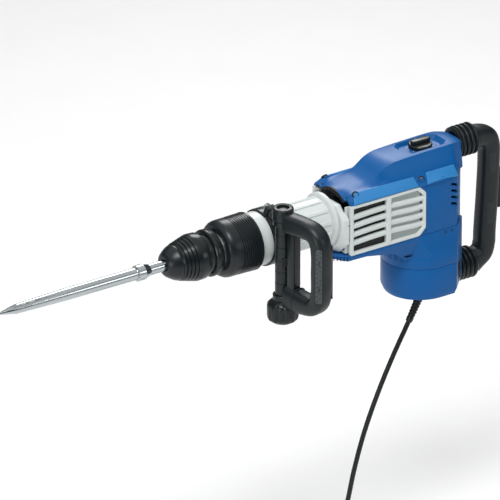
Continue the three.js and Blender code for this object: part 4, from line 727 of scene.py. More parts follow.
def coil_point(places, angle):
    turn = int(angle // (2 * math.pi))
    share = (angle % (2 * math.pi) - CHANGE_START) / CHANGE_LENGTH
    share = min(1.0, max(0.0, share))
    share = share * share * (3 - 2 * share)
    here = places[min(turn, len(places) - 1)]
    there = places[min(turn + 1, len(places) - 1)]
    radius = here[0] + (there[0] - here[0]) * share
    height = here[1] + (there[1] - here[1]) * share
    if here[0] == there[0] and turn + 1 < len(places):
        side = 1 if here[0] > sum(COIL_RADII) / len(COIL_RADII) else -1
        radius += side * 3.3 * math.sin(math.pi * share)
    return COIL_CENTRE + Vector((radius * math.cos(angle), radius * math.sin(angle), height))


PLUG_X = -397.5
PLUG_Y = -26.0
PLUG_Z = FLOOR_Z + 19.0


def cord_points():
    places = coil_places()
    line = smooth_path(HANGING_RUN + [coil_point(places, LAND_ANGLE)], 5)
    end_angle = 2 * math.pi * (len(places) - 1) + math.radians(138)
    steps = int((end_angle - LAND_ANGLE) / (2 * math.pi) * POINTS_PER_TURN)
    for i in range(1, steps + 1):
        line.append(coil_point(places, LAND_ANGLE + (end_angle - LAND_ANGLE) * i / steps))
    tail = [line.pop(), (-386, 29, -600.5), (-395, 14, -597), (PLUG_X, -4, -589),
            (PLUG_X, PLUG_Y + 1, PLUG_Z)]
    return line + smooth_path(tail, 5)


CORD_LINE = cord_points()


# %% The cord, its tie and its plug
def make_cord():
    curve = bpy.data.curves.new("mains_cord_line", "CURVE")
    curve.dimensions = "3D"
    curve.bevel_depth = CORD_RADIUS * MM
    curve.bevel_resolution = 4
    curve.use_fill_caps = True
    spline = curve.splines.new("POLY")
    spline.points.add(len(CORD_LINE) - 1)
    for point, place in zip(spline.points, CORD_LINE):
        point.co = (*(place * MM), 1)
    spline.use_smooth = True
    curve.materials.append(RUBBER)
    cord = add_object("mains_cord_line", curve)
    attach(cord, BODY_OF["mains_cord"])
    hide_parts("mains_cord", "cord_coil", "cord_tail")
    return cord


def make_tie():
    """A soft band round the whole bundle of turns, at the coil's far side."""
    thickness, half_width = 1.2, 7
    shape = bmesh.new()
    rings = []
    for across, up in rounded_box(18.2, 12.4, 6.0, 40):
        inner = Vector((across, 0, up))
        outer = inner + inner.normalized() * thickness
        corners = ((inner, -half_width), (outer, -half_width), (outer, half_width), (inner, half_width))
        rings.append([shape.verts.new((p.x, y, p.z)) for p, y in corners])
    join_rings(shape, rings, closed=True)
    bundle_middle = Vector((COIL_CENTRE.x, 46.0, FLOOR_Z + CORD_RADIUS * COIL_LAYERS))
    move(shape, Matrix.Translation(bundle_middle) @ Matrix.Rotation(math.pi / 2, 4, "Z"))
    for vert in shape.verts:
        vert.co.z = max(vert.co.z, FLOOR_Z + 0.05)
    return add_piece("cord_tie", shape, SOFT_GRIP, "cord_coil")


def plug_place(offset):
    """The plug lies on its side. offset moves a part of it across."""
    return Matrix.Translation((PLUG_X + offset, PLUG_Y, PLUG_Z)) @ Matrix.Rotation(math.pi / 2, 4, "X")


def make_plug():
    half = PLUG_Z - FLOOR_Z
    profile = [(0, 0), (0, 5.5), (4, 6.2), (6, 5.8), (9, 6.8), (11, 6.4), (16, 9), (19.5, 14.5), (22, 18),
               (24, half), (44.5, half), (46, half - 1.5), (46, 0)]
    body = move(turned_shape(profile, 64, axis="Z"), plug_place(0))
    shell = add_piece("plug_body", body, BLACK_SHELL, "plug", replace=True)
    pins = bmesh.new()
    pin_profile = [(44, 2.4), (62, 2.4), (64, 1.6), (65, 0)]
    for offset in (-9.5, 9.5):
        pin = move(turned_shape(pin_profile, 24, axis="Z"), plug_place(offset))
        mesh = mesh_of("pin", pin)
        pins.from_mesh(mesh)
        bpy.data.meshes.remove(mesh)
    return [shell, add_piece("plug_pins", pins, BRASS, "plug")]


cord = make_cord()
cord_tie = make_tie()
plug_pieces = make_plug()
print("cord pieces:", cord.name, cord_tie.name, [p.name for p in plug_pieces])

# %% [markdown]
# ## Chisel
# A point chisel has four long hollows that run out towards the point, a plain stem, a collar and a round
# shank. Its section changes along its length, so it is made ring by ring: each ring's radius is the stem's
# or the hollow's, whichever is smaller.
# %% The chisel
TIP_X, SHANK_X = span("chisel", "x")
HOLLOW_LENGTH = 126.0
HOLLOW_RADIUS = 6.5
STEM_RADIUS = 9.75
HOLLOW_DEPTH = 5.0


def chisel_radius(x, angle):
    along = x - TIP_X
    cone = 1.2 + (7.6 - 1.2) * along / 34
    if along > 34:
        cone = 7.6 + (STEM_RADIUS - 7.6) * min(1.0, (along - 34) / (HOLLOW_LENGTH - 34))
    depth = HOLLOW_DEPTH * (1 - along / HOLLOW_LENGTH)
    centre = STEM_RADIUS + HOLLOW_RADIUS - depth
    offset = (angle + math.pi / 4) % (math.pi / 2) - math.pi / 4
    reach = centre * math.sin(offset)
    if depth > 0 and abs(reach) < HOLLOW_RADIUS:
        cone = min(cone, centre * math.cos(offset) - math.sqrt(HOLLOW_RADIUS ** 2 - reach ** 2))
    return max(cone, 0.6)


def make_chisel():
    segments = 96
    collar_front, collar_rear = SHANK_X - 142, SHANK_X - 120
    hollowed = [(TIP_X + HOLLOW_LENGTH * i / 60, None) for i in range(61)]
    turned = [(collar_front - 8, STEM_RADIUS), (collar_front - 1, STEM_RADIUS), (collar_front - 0.6, 12.3),
              (collar_front, 12.8), (collar_front + 12, 12.8), (collar_front + 13, 12.2), (collar_rear, 9.8),
              (collar_rear + 1.5, 9.0), (SHANK_X - 1, 9.0), (SHANK_X, 8.2)]
    shape = bmesh.new()
    rings = []
    for x, fixed_radius in hollowed + turned:
        ring = []
        for i in range(segments):
            angle = 2 * math.pi * i / segments
            radius = fixed_radius or chisel_radius(x, angle)
            turn = angle + math.pi / 4
            ring.append(shape.verts.new((x, radius * math.sin(turn), radius * math.cos(turn))))
        rings.append(ring)
    join_rings(shape, rings)
    return add_piece("chisel_blade", shape, BRIGHT_STEEL, "chisel", replace=True, crease=22)


make_chisel()
print("chisel from", round(TIP_X), "to", round(SHANK_X))

# %% [markdown]
# ## Chuck and front sleeve
# These are turned parts: a profile of stations and radii, spun round the tool axis. Fine grooves are steps
# in the profile, and the big sleeve ends in a set of shallow rings that a hand can hold.
# %% Nose, locking sleeve, ring and rubber sleeve
def make_nose():
    front, rear = span("nose_cap", "x")
    profile = [(front, 10), (front, 16.2), (front + 0.8, 17.4), (front + 3, 20), (front + 9, 24),
               (rear - 4.5, 27.7), (rear - 1.5, 28.5), (rear - 0.4, 28.2), (rear, 27.4), (rear, 10)]
    return add_piece("nose_shell", turned_shape(profile, 96), RUBBER, "nose_cap", replace=True)


def make_locking_sleeve():
    front, rear = span("locking_sleeve", "x")
    profile = [(front, 15.6), (front, 28.2), (front + 1, 29.3)]
    for i in range(4):
        start = front + 3.4 + 6.0 * i
        radius = 30.6 + 1.6 * i
        profile += [(start - 0.3, radius), (start + 0.2, radius - 1.7), (start + 1.3, radius - 1.6),
                    (start + 1.8, radius + 0.3)]
    profile += [(rear - 19, 37.2), (rear - 16, 37.8), (rear - 4, 37.5), (rear - 1, 36.4), (rear, 34.6),
                (rear, 24), (front + 8, 24), (front + 8, 15.6)]
    return add_piece("locking_sleeve_shell", turned_shape(profile, 128), BLACK_SHELL, "locking_sleeve",
                     replace=True, crease=30)


def make_ring():
    front, rear = span("adjusting_ring", "x")
    profile = [(front, 30.6), (front, 35.6), (front + 1.5, 37.4), (front + 3.5, 38), (front + 5.5, 37.9),
               (front + 6, 37), (front + 7, 37), (front + 7.5, 37.7), (rear - 3, 36.8), (rear - 1, 35.6),
               (rear, 34), (rear, 30.6)]
    return add_piece("adjusting_ring_shell", turned_shape(profile, 128), BLACK_SHELL, "adjusting_ring",
                     replace=True, crease=30)


def make_rubber_sleeve():
    front, rear = span("rubber_sleeve", "x")
    profile = [(front, 30.4), (front, 38.4), (front + 0.8, 40.6), (front + 3.2, 43), (front + 7, 45.2),
               (front + 11, 45.9), (front + 22, 46.1)]
    groove_count, pitch = 9, 3.9
    for i in range(groove_count):
        profile += groove(front + 23.5 + pitch * i, 46.1 + 0.08 * i, 1.3, (0.5, 1.3, 1.8))
    profile += [(rear - 0.8, 47.1), (rear - 0.2, 46.6), (rear, 45.8), (rear, 39.1), (front + 4, 39.1),
                (front + 4, 30.4)]
    return add_piece("rubber_sleeve_shell", turned_shape(profile, 128), RUBBER, "rubber_sleeve", replace=True,
                     crease=25)


for make in (make_nose, make_locking_sleeve, make_ring, make_rubber_sleeve):
    print("made", make().name)

# %% [markdown]
# ## Barrel
# The barrel is a painted casting: a collar behind the sleeve, a seat for the handle clamp, a ribbed body
# and a flange. The casting itself is turned, and the long ribs are one soft bar that the ring tree repeats.
# A raised plate on each side carries the maker's lettering on real machines, and here it stays plain.
# %% The barrel
BARREL_FRONT, BARREL_REAR = span("barrel_housing", "x")
SEAT_FRONT = span("rubber_sleeve", "x")[1] + 22.0
SEAT_REAR = SEAT_FRONT + 22.0


def make_barrel():
    lip = span("rubber_sleeve", "x")[1] + 0.3
    profile = [
        (BARREL_FRONT, 27.3), (BARREL_FRONT, 38.7), (lip, 38.7), (lip, 41.3), (lip + 0.8, 42),
        (lip + 10, 42.6),
        (SEAT_FRONT - 3, 43), (SEAT_FRONT - 1.2, 42.6), (SEAT_FRONT - 0.3, 41.6), (SEAT_FRONT - 0.3, 40),
        (SEAT_REAR + 2, 40), (SEAT_REAR + 3, 37.2), (SEAT_REAR + 6, 37), (BARREL_REAR - 13, 37),
        (BARREL_REAR - 10, 38.2), (BARREL_REAR - 7.6, 42.8), (BARREL_REAR - 6, 44), (BARREL_REAR - 0.6, 44),
        (BARREL_REAR, 43.4), (BARREL_REAR, 27.3)]
    shell = add_piece("barrel_shell", turned_shape(profile, 128), SILVER_PAINT, "barrel_housing",
                      replace=True, crease=32)
    rib = block_shape((SEAT_REAR + 10, -3.4, 35.5), (BARREL_REAR - 10, 3.4, 39.2), 1.5, 4)
    count = 12
    step = 2 * math.pi / count
    ribs = copies("barrel_ribs", RING, rib, SILVER_PAINT, "barrel_housing", count=count, axis=(1, 0, 0),
                  first_angle=step / 2, angle_step=step)
    return shell, ribs


def make_barrel_plates():
    half = (BARREL_REAR - 14 - SEAT_REAR - 16) / 2
    middle = SEAT_REAR + 16 + half
    outline = round_corners([(-half, -7.2), (half, -7.2), (half, 7.2), (-half, 7.2)], 3)
    made = []
    for side, label in SIDES:
        place = Matrix.Translation((middle, side * 38.2, -13)) @ Matrix.Rotation(-math.pi / 2, 4, "X")
        made.append(add_piece(f"barrel_plate_{label}", plate_shape([outline], 3.4, 1.2, place), SILVER_PAINT,
                              "barrel_housing"))
    return made


barrel_shell, barrel_ribs = make_barrel()
print("barrel:", barrel_shell.name, barrel_ribs.name, [p.name for p in make_barrel_plates()])

# %% [markdown]
# ## Gear housing and vent covers
# The gear housing keeps its shape and gets rounded edges. A vent cover is a frame with two windows. Behind
# the front window a near-black sheet is painted shade for a dark hollow, and behind the rear one a grey
# sheet is painted shade for the gaps between shallow louvres. The slats bow upwards a little, and one slat
# repeated by the row tree fills both windows.
# %% The gear housing
gear_shell = rounded_copy("gear_housing", SILVER_PAINT, 2.2, 4)
VENT_FRONT, VENT_REAR = span("vent_cover_left", "x")
VENT_LOW, VENT_HIGH = span("vent_cover_left", "z")
SIDE_Y = span("vent_cover_right", "y")[1]


def side_place(side, x, y, z):
    """Stands a plate that lies in its own x-y plane up on a side of the body, facing outwards."""
    return Matrix.Translation((x, side * y, z)) @ Matrix.Rotation(math.pi / 2, 4, "X")


def make_casting_seams():
    """The dark joint line on each side of the casting's nose."""
    front = span("gear_housing", "x")[0] + 10
    seam_y, half = 51.0, 0.35
    made = []
    for side, label in SIDES:
        shape = block_shape((front, side * seam_y - half, 3.2), (VENT_FRONT - 0.6, side * seam_y + half, 3.9))
        made.append(add_piece(f"casting_seam_{label}", shape, DEEP_BLACK, "gear_housing"))
    return made


make_casting_seams()
print("gear housing:", gear_shell.name)


# %% The vent frames
WINDOW_MARGIN = 6.0
POST_FROM = VENT_FRONT + 0.475 * (VENT_REAR - VENT_FRONT)
POST_TO = VENT_FRONT + 0.535 * (VENT_REAR - VENT_FRONT)
SLAT_COUNT = 4


def vent_outline():
    cut = 12
    return round_corners([(VENT_FRONT, VENT_LOW), (VENT_REAR - cut, VENT_LOW), (VENT_REAR, VENT_LOW + cut),
                          (VENT_REAR, VENT_HIGH - cut), (VENT_REAR - cut, VENT_HIGH),
                          (VENT_FRONT, VENT_HIGH)], 2.5)


def vent_windows():
    low, high = VENT_LOW + WINDOW_MARGIN - 1, VENT_HIGH - WINDOW_MARGIN + 1
    front, end = VENT_FRONT + WINDOW_MARGIN, VENT_REAR - 5
    return [
        round_corners([(front, low), (POST_FROM, low), (POST_FROM, high), (front, high)], 2),
        round_corners([(POST_TO, low), (end - 11, low), (end, low + 11), (end, high - 11), (end - 11, high),
                       (POST_TO, high)], 2),
    ]


def make_vent_frame(side, label):
    depth = 7.0
    place = side_place(side, 0, SIDE_Y - depth / 2, 0)
    shape = plate_shape([vent_outline(), *vent_windows()], depth, 1.3, place)
    return add_piece(f"vent_frame_{label}", shape, SILVER_PAINT, f"vent_cover_{label}", replace=True)


def make_vent_backs(side, label):
    middle = (POST_FROM + POST_TO) / 2
    made = []
    # Both backs are painted shade: a near-black sheet behind the front window and a shaded grey sheet behind
    # the louvres.
    for name, front, rear, depth, finish in (
        ("vent_hollow", VENT_FRONT + 3, middle, 7.4, DEEP_BLACK),
        ("vent_louvre_floor", middle, VENT_REAR - 9, 5.4, SHADED_GREY_CASTING),
    ):
        y0, y1 = sorted((side * (SIDE_Y - depth), side * (SIDE_Y - depth + 0.5)))
        shape = block_shape((front, y0, VENT_LOW + 3), (rear, y1, VENT_HIGH - 3))
        made.append(add_piece(f"{name}_{label}", shape, finish, f"vent_cover_{label}"))
    return made


def slat_shape(side):
    """One slat over the full length, bowed upwards, with a rounded outer edge that leans down."""
    front, rear = VENT_FRONT + 3, VENT_REAR - 4
    steps = 28
    section = [(0.0, 4.4), (2.6, 4.3), (4.8, 3.0), (5.6, 0.6), (5.3, -2.2), (4.0, -3.8), (0.0, -4.0)]
    shape = bmesh.new()
    rings = []
    for i in range(steps + 1):
        share = i / steps
        x = front + (rear - front) * share
        bow = 2.6 * math.sin(math.pi * min(1.0, share * 1.15)) - 1.0
        rings.append([shape.verts.new((x, side * (SIDE_Y - 6.2 + depth), bow + z)) for depth, z in section])
    join_rings(shape, rings)
    return shape


def make_slats(side, label):
    inner_low, inner_high = VENT_LOW + WINDOW_MARGIN, VENT_HIGH - WINDOW_MARGIN
    pitch = (inner_high - inner_low) / (SLAT_COUNT + 1)
    return copies(f"vent_slats_{label}", ROW, slat_shape(side), SILVER_PAINT, f"vent_cover_{label}",
                  crease=40, count=SLAT_COUNT, start=(0, 0, inner_low + pitch), step=(0, 0, pitch))


def make_vent_post(side, label):
    """The upright rib between the windows, with a half-round bead in front."""
    y0, y1 = sorted((side * (SIDE_Y - 4.0), side * (SIDE_Y + 0.6)))
    shape = block_shape((POST_FROM - 0.5, y0, VENT_LOW + 3), (POST_TO + 0.5, y1, VENT_HIGH - 3), 2.0, 4)
    return add_piece(f"vent_post_{label}", shape, SILVER_PAINT, f"vent_cover_{label}")


for side, label in SIDES:
    make_vent_frame(side, label)
    make_vent_backs(side, label)
    make_slats(side, label)
    make_vent_post(side, label)
print("vent covers from", round(VENT_FRONT), "to", round(VENT_REAR))

# %% [markdown]
# ## Blue shells
# The rear housing, the motor housing and its cap are mouldings in one blue. Rounded copies of their solids
# keep the cut corners of the real thing. A lining and small plates fill the gaps that stay between them.
# %% Rear housing, motor housing and cap
rear_shell = rounded_copy("rear_housing", BLUE_SHELL, 2.0, 3)
motor_shell = rounded_copy("motor_housing", BLUE_SHELL, 0.9, 2)
cap_shell = rounded_copy("motor_cap", BLUE_SHELL, 1.8, 3)


def make_motor_band():
    """A blue lining behind the motor bay's wall. It closes a narrow slit in the solid, where the flare
    meets the tray."""
    profile = [(-100, 56), (-100, 60.9), (-90, 60.9), (-81, 57.4), (-81, 56)]
    band = turned_shape(profile, 96, (centre_of("armature", "x"), 0, 0), "Z")
    return add_piece("motor_bay_lining", band, BLUE_SHELL, "motor_housing")


def make_corner_fills():
    """Small blue plates behind the cut corners of the vent covers."""
    near, far, leg = VENT_REAR - 12.5, VENT_REAR + 0.4, 12.5
    made = []
    for side, label in SIDES:
        place = side_place(side, 0, SIDE_Y - 2.6, 0)
        for level, corner, turn in (("upper", VENT_HIGH, -1), ("lower", VENT_LOW, 1)):
            outline = [(near, corner), (far, corner), (far, corner + turn * leg)]
            made.append(add_piece(f"corner_fill_{level}_{label}", plate_shape([outline], 3.0, 0.4, place),
                                  BLUE_SHELL, "rear_housing"))
    return made


print("shells:", rear_shell.name, motor_shell.name, cap_shell.name)
print("fills:", [p.name for p in (make_motor_band(), *make_corner_fills())])

# %% [markdown]
# The hood rises in a smooth brow from an arched lip to a flat crown, so it is lofted. Each station gives
# half a section, from the middle of the top down to the lower edge, and smooth curves run through the
# stations. Boolean modifiers hollow it out and cut the dial's recess and its shaft hole.
# %% The hood's loft
HOOD_FRONT, HOOD_REAR = span("top_hood", "x")
HOOD_TOP = span("top_hood", "z")[1]
HOOD_LOW = VENT_HIGH + 0.6
LIP_X = HOOD_FRONT + 13.0
LOWER_EDGE = [(44, 46.5), (49.6, 40.8), (51.8, HOOD_LOW)]
HOOD_STATIONS = [
    (LIP_X, [(0, 48), (14, 46.6), (26, 41.6), (33, 38.6), (38, 42), (42, 43.5), (48, 40), (50.5, HOOD_LOW)]),
    (-294, [(0, 49.4), (14, 48.8), (26, 47), (34, 46.5), (39, 48.5), (42.5, 47.6), *LOWER_EDGE[1:]]),
    (-276, [(0, 51.5), (15, 51.3), (27, 50.3), (35, 49), (40, 49.6), *LOWER_EDGE]),
    (-258, [(0, 55), (16, 55), (27.5, 53.6), (36, 50), (41, 49.8), *LOWER_EDGE]),
    (-243, [(0, 62.5), (17, 62.5), (28, 60.8), (36, 52), (41, 50.2), *LOWER_EDGE]),
    (-228, [(0, 72.5), (17, 72.5), (28, 70.8), (35.5, 55.5), (41, 50.8), *LOWER_EDGE]),
    (-212, [(0, 78), (17, 78), (28, 76.5), (35, 59), (40.5, 51), *LOWER_EDGE]),
    (-196, [(0, 79.6), (17, 79.6), (28, 78.1), (34.5, 60.5), (40.5, 51), *LOWER_EDGE]),
    (-103, [(0, HOOD_TOP), (17, HOOD_TOP), (28, HOOD_TOP - 1.5), (34, 62), (40.5, 51), *LOWER_EDGE]),
    (-94, [(0, 81.8), (16.5, 81.8), (27.5, 80.2), (33, 61.8), (37.5, 50.8), (40.5, 46.5), (42.5, 40.8),
           (43, HOOD_LOW)]),
    (-86, [(0, 81.2), (15.5, 81.2), (25.5, 79.4), (29.5, 61.2), (32, 50.2), (33.5, 46), (34.5, 40.5),
           (35, HOOD_LOW)]),
    (HOOD_REAR - 0.3, [(0, 79.4), (13.5, 79.4), (22, 77.4), (24.5, 60.5), (25.8, 49.6), (26.5, 45.6),
                       (27.1, 40.2), (27.5, HOOD_LOW)]),
]
HOOD_STEPS = 6
RECESS_FLOOR = span("speed_dial", "z")[1] - 14.3


def hood_rings(adjust):
    """Closed rings of points through the stations. adjust changes each (y, z) of a half section."""
    columns = []
    for k in range(len(HOOD_STATIONS[0][1])):
        knots = [(x, *adjust(*half[k])) for x, half in HOOD_STATIONS]
        columns.append(smooth_path(knots, HOOD_STEPS))
    rings = []
    for i in range(len(columns[0])):
        half = [column[i] for column in columns]
        rings.append(half[::-1] + [Vector((p.x, -p.y, p.z)) for p in half[1:]])
    return rings


def lofted_shape(rings):
    shape = bmesh.new()
    join_rings(shape, [[shape.verts.new(point) for point in ring] for ring in rings])
    bmesh.ops.recalc_face_normals(shape, faces=shape.faces)
    return shape


def recess_shape(centre_x, floor):
    """An eight-sided pan with sloping walls, a little longer than wide."""
    cut = 10
    rings = []
    for grow, height in ((0, floor), (9.5, floor + 9)):
        a, b = 34 + grow, 19 + grow * 0.6
        outline = [(-a, -b + cut), (-a + cut, -b), (a - cut, -b), (a, -b + cut), (a, b - cut), (a - cut, b),
                   (-a + cut, b), (-a, b - cut)]
        rings.append([(centre_x + x, y, height) for x, y in outline])
    return lofted_shape(rings)


# %% Cutting the hood
def cut_shape(shape, tools):
    """The shape with the tools cut away from it by exact Boolean modifiers."""
    holders = [add_object(f"cut_{k}", mesh_of(f"cut_{k}", part)) for k, part in enumerate([shape, *tools])]
    for tool in holders[1:]:
        cutter = holders[0].modifiers.new(tool.name, "BOOLEAN")
        cutter.operation = "DIFFERENCE"
        cutter.solver = "EXACT"
        cutter.object = tool
    mesh = plain_mesh(holders[0])
    result = shape_of(mesh)
    used = [mesh, *[holder.data for holder in holders]]
    for holder in holders:
        bpy.data.objects.remove(holder)
    for data in used:
        bpy.data.meshes.remove(data)
    return result


def make_hood():
    def hollow(y, z):
        return y * 0.93, HOOD_LOW - 6 if z <= HOOD_LOW else min(z - 4.2, 67.8)

    dial_x = centre_of("speed_dial", "x")
    outer = lofted_shape(hood_rings(lambda y, z: (y, z)))
    inner = lofted_shape(hood_rings(hollow))
    for vert in inner.verts:
        if vert.co.x < LIP_X + 1:
            vert.co.x -= 3
        vert.co.x = min(vert.co.x, HOOD_REAR - 4)
    hole = turned_shape([(60, 0), (60, 6.6), (78, 6.6), (78, 0)], 32, (dial_x, 0, 0), "Z")
    bmesh.ops.recalc_face_normals(hole, faces=hole.faces)
    solid = cut_shape(outer, [inner, recess_shape(dial_x - 2, RECESS_FLOOR), hole])
    return add_piece("hood_shell", solid, BLUE_SHELL, "top_hood", replace=True, crease=24)


print("hood:", make_hood().name)

# %% [markdown]
# A ledge runs along the hood's shoulder, in a lighter blue that is a painted highlight where it faces the
# light. It is broken by the rear screw, and behind it a thicker block continues to the rear corner.
# %% Shoulder ledges
HALF_WIDTH = span("rear_housing", "y")[1]


def ledge_shape(side, front, rear, proud):
    """A bar on the shoulder: its outer face is upright at the bottom and leans inwards higher up. Each end
    is given by its x, its top, its lean and how far its top corner is set in."""
    rings = []
    for x, top, lean, inset in (front, rear):
        section = [(HALF_WIDTH - 4, HOOD_LOW), (HALF_WIDTH + proud, HOOD_LOW),
                   (HALF_WIDTH + proud, HOOD_LOW + 3.2), (HALF_WIDTH - lean, top),
                   (HALF_WIDTH - lean - 3, top - 1)]
        rings.append([(x + inset * (z - HOOD_LOW) / (top - HOOD_LOW), side * y, z) for y, z in section])
    shape = lofted_shape(rings)
    round_edges(shape, 0.9, 3)
    return shape


SCREW_XS = [centre_of(f"hood_screw_{i}", "x") for i in (1, 2)]


def make_ledges():
    made = []
    for side, label in SIDES:
        front = ledge_shape(side, (LIP_X + 4, 51.5, 12, 8), (SCREW_XS[1] - 9, 50.6, 9.2, -4), 0.5)
        rear = ledge_shape(side, (SCREW_XS[1] + 7, 52.8, 7.5, 4), (HOOD_REAR - 27, 52.8, 7.5, -3), 1.1)
        for name, shape in (("ledge_front", front), ("ledge_rear", rear)):
            made.append(add_piece(f"{name}_{label}", shape, BLUE_PAINTED_HIGHLIGHT, "top_hood", crease=35))
    return made


print("ledges:", [p.name for p in make_ledges()])


# %% [markdown]
# Screws are the classic repeat. A socket screw is a short turned head with a hexagonal recess, and it sits
# in a dark ring, the shadow of its counterbore.
# %% Hood screws
def socket_head_shape(radius, height):
    profile = [(0, 0), (0, radius - 0.2), (0.2, radius), (height - 0.5, radius), (height, radius - 0.5),
               (height, radius * 0.58), (height - 1.2, radius * 0.5), (height - 1.4, 0)]
    return turned_shape(profile, 32, axis="Z")


def shoulder_turn(side):
    """The place of a screw on the shoulder, with its axis square to the slope."""
    slope = math.atan2(13.0, 10.0)
    place = Matrix.Translation((0, side * (HALF_WIDTH - 5), HOOD_LOW + 9.5))
    return place @ Matrix.Rotation(-side * slope, 4, "X")


def make_screws(side, label):
    rise, inward = 4.2, 4.5
    start = (SCREW_XS[0] + rise, -side * inward, rise)
    step = (SCREW_XS[1] - SCREW_XS[0] - rise, side * inward, -rise)
    head = move(socket_head_shape(3.9, 3.0), shoulder_turn(side) @ Matrix.Translation((0, 0, -3.6)))
    screws = copies(f"hood_screws_{label}", ROW, head, BRIGHT_STEEL, "hood_screw_1", count=2,
                    start=start, step=step)
    # Only the left pair stands for solids of the frame.
    if label == "left":
        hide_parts("hood_screw_1", "hood_screw_2")
    profile = [(-2.6, 4.0), (-2.6, 5.6), (0.25, 5.6), (0.45, 5.2), (0.45, 4.6), (0.1, 4.1)]
    rim = move(turned_shape(profile, 40, axis="Z"), shoulder_turn(side))
    rims = copies(f"screw_wells_{label}", ROW, rim, DEEP_BLACK, "top_hood", count=2, start=start, step=step)
    return screws, rims


for side, label in SIDES:
    print("screws:", [p.name for p in make_screws(side, label)])


# %% [markdown]
# ## Air slots at the front
# Under the hood's arched lip and in the front of the lower tray a black comb lets cooling air out. A
# near-black band and wall behind the lip's teeth are painted shade for the depth, and the ring and row
# trees set the teeth.
# %% The two combs
LIP_RADIUS = 46.6


def make_lip_comb():
    front = LIP_X - 0.2
    low, high = LIP_RADIUS - 3.4, LIP_RADIUS + 1.4
    half_angle = math.radians(39)
    count = 15
    step = 2 * half_angle / (count - 1)
    tooth = block_shape((front - 1.6, -1.5, LIP_RADIUS - 4.2), (front + 3, 1.5, LIP_RADIUS + 2.0), 0.5, 2)
    teeth = copies("lip_comb", RING, tooth, BLACK_SHELL, "top_hood", count=count, axis=(1, 0, 0),
                   first_angle=-half_angle, angle_step=step)
    # The band and the wall behind the teeth are near-black sheets: painted shade for the depth of the slots.
    band = bmesh.new()
    rings = []
    for i in range(33):
        angle = -half_angle - step / 2 + (2 * half_angle + step) * i / 32
        corners = ((front - 0.5, low), (front - 0.5, high), (front + 2, high), (front + 2, low))
        rings.append([band.verts.new((x, -r * math.sin(angle), r * math.cos(angle))) for x, r in corners])
    join_rings(band, rings)
    wall = block_shape((front + 4, -34, HOOD_LOW), (front + 5, 34, low))
    return (teeth, add_piece("lip_comb_band", band, DEEP_BLACK, "top_hood"),
            add_piece("lip_inner_wall", wall, DEEP_BLACK, "top_hood"))


def make_tray_comb():
    """Upright bars on the tray's cut front corners."""
    front = span("motor_housing", "x")[0]
    top = span("motor_housing", "z")[1]
    corner_y = HALF_WIDTH - 25.0
    made = []
    for side, label in SIDES:
        turn = Matrix.Rotation(side * math.radians(135), 4, "Z")
        tooth = block_shape((-1.3, -0.6, top - 8.2), (1.3, 1.0, top - 1.4), 0.4, 2, turn)
        made.append(copies(f"tray_comb_{label}", ROW, tooth, BLACK_SHELL, "motor_housing", count=6,
                           start=(front + 2.5, side * (corner_y + 2.5), 0), step=(3.8, side * 3.8, 0)))
    return made


print("combs:", [p.name for p in (*make_lip_comb(), *make_tray_comb())])

# %% [markdown]
# ## Marks, notches and grilles on the rear body
# Four slanted ridges give grip at the rear corners, in the lighter blue of the painted highlight; two small
# vent dots, shallow discs in painted shade, sit low on the side; and a black grille covers each cut corner
# of the motor cap.
# %% Rear details
def make_corner_ridges():
    rear = span("rear_housing", "x")[1]
    slant = Matrix.Rotation(math.radians(-20), 4, "Y")
    made = []
    for side, label in SIDES:
        corner = Matrix.Translation((rear - 15.5, side * (HALF_WIDTH - 11.2), 0))
        place = corner @ Matrix.Rotation(-side * math.radians(45), 4, "Z")
        ridge = move(block_shape((-9, -1.6, -1.5), (9, 1.0, 1.5), 0.7, 3, slant), place)
        made.append(copies(f"corner_ridges_{label}", ROW, ridge, BLUE_PAINTED_HIGHLIGHT, "rear_housing", count=4,
                           start=(0, 0, -12), step=(0, 0, 11)))
        # A vent dot is a shallow disc in near-black, painted shade for the hole.
        dot = turned_shape([(0, 0), (0, 2.2), (0.35, 2.0), (0.2, 1.4), (0.05, 0)], 24, axis="Z")
        move(dot, Matrix.Rotation(-side * math.pi / 2, 4, "X"))
        made.append(copies(f"side_dots_{label}", ROW, dot, DEEP_BLACK, "motor_housing", count=2,
                           start=(-124, side * (HALF_WIDTH - 0.1), -55.5), step=(12.5, 0, 0)))
    return made


def make_grilles():
    return [rounded_copy(f"rear_grille_{label}", BLACK_SHELL, 0.6, 2) for side, label in SIDES]


print("rear details:", [p.name for p in (*make_corner_ridges(), *make_grilles())])


# %% [markdown]
# ## Speed dial
# The dial lies in a recess of the hood. Its disc has fine teeth round the rim, and a long raised wing to
# turn it with. Plain printed ticks round it mark the steps.
# %% The dial
DIAL_CENTRE = Vector((centre_of("speed_dial", "x"), 0, 0))
DIAL_BASE = RECESS_FLOOR + 0.3


def make_dial():
    base = DIAL_BASE
    profile = [(base - 8, 0), (base - 8, 6), (base, 6), (base, 18.4), (base + 0.5, 19), (base + 5.6, 19),
               (base + 7, 17.6), (base + 7.3, 15), (base + 7.3, 0)]
    disc = turned_shape(profile, 96, DIAL_CENTRE, "Z")
    shell = add_piece("dial_disc", disc, BLACK_SHELL, "speed_dial", replace=True)
    outline = round_corners([(-17.6, -3.6), (-12, -6), (12, -6), (17.6, -3.6), (17.6, 3.6), (12, 6), (-12, 6),
                             (-17.6, 3.6)], 2.5)
    place = Matrix.Translation(DIAL_CENTRE + Vector((0, 0, base + 10.3)))
    wing = add_piece("dial_wing", plate_shape([outline], 7.4, 1.8, place, 4), BLACK_SHELL, "speed_dial")
    tooth = block_shape((-0.7, 18.2, base + 1.0), (0.7, 19.0, base + 5.6), 0.25, 1)
    count = 40
    teeth = copies("dial_teeth", RING, tooth, BLACK_SHELL, "speed_dial", count=count, centre=DIAL_CENTRE,
                   axis=(0, 0, 1), first_angle=0.0, angle_step=2 * math.pi / count)
    return shell, wing, teeth


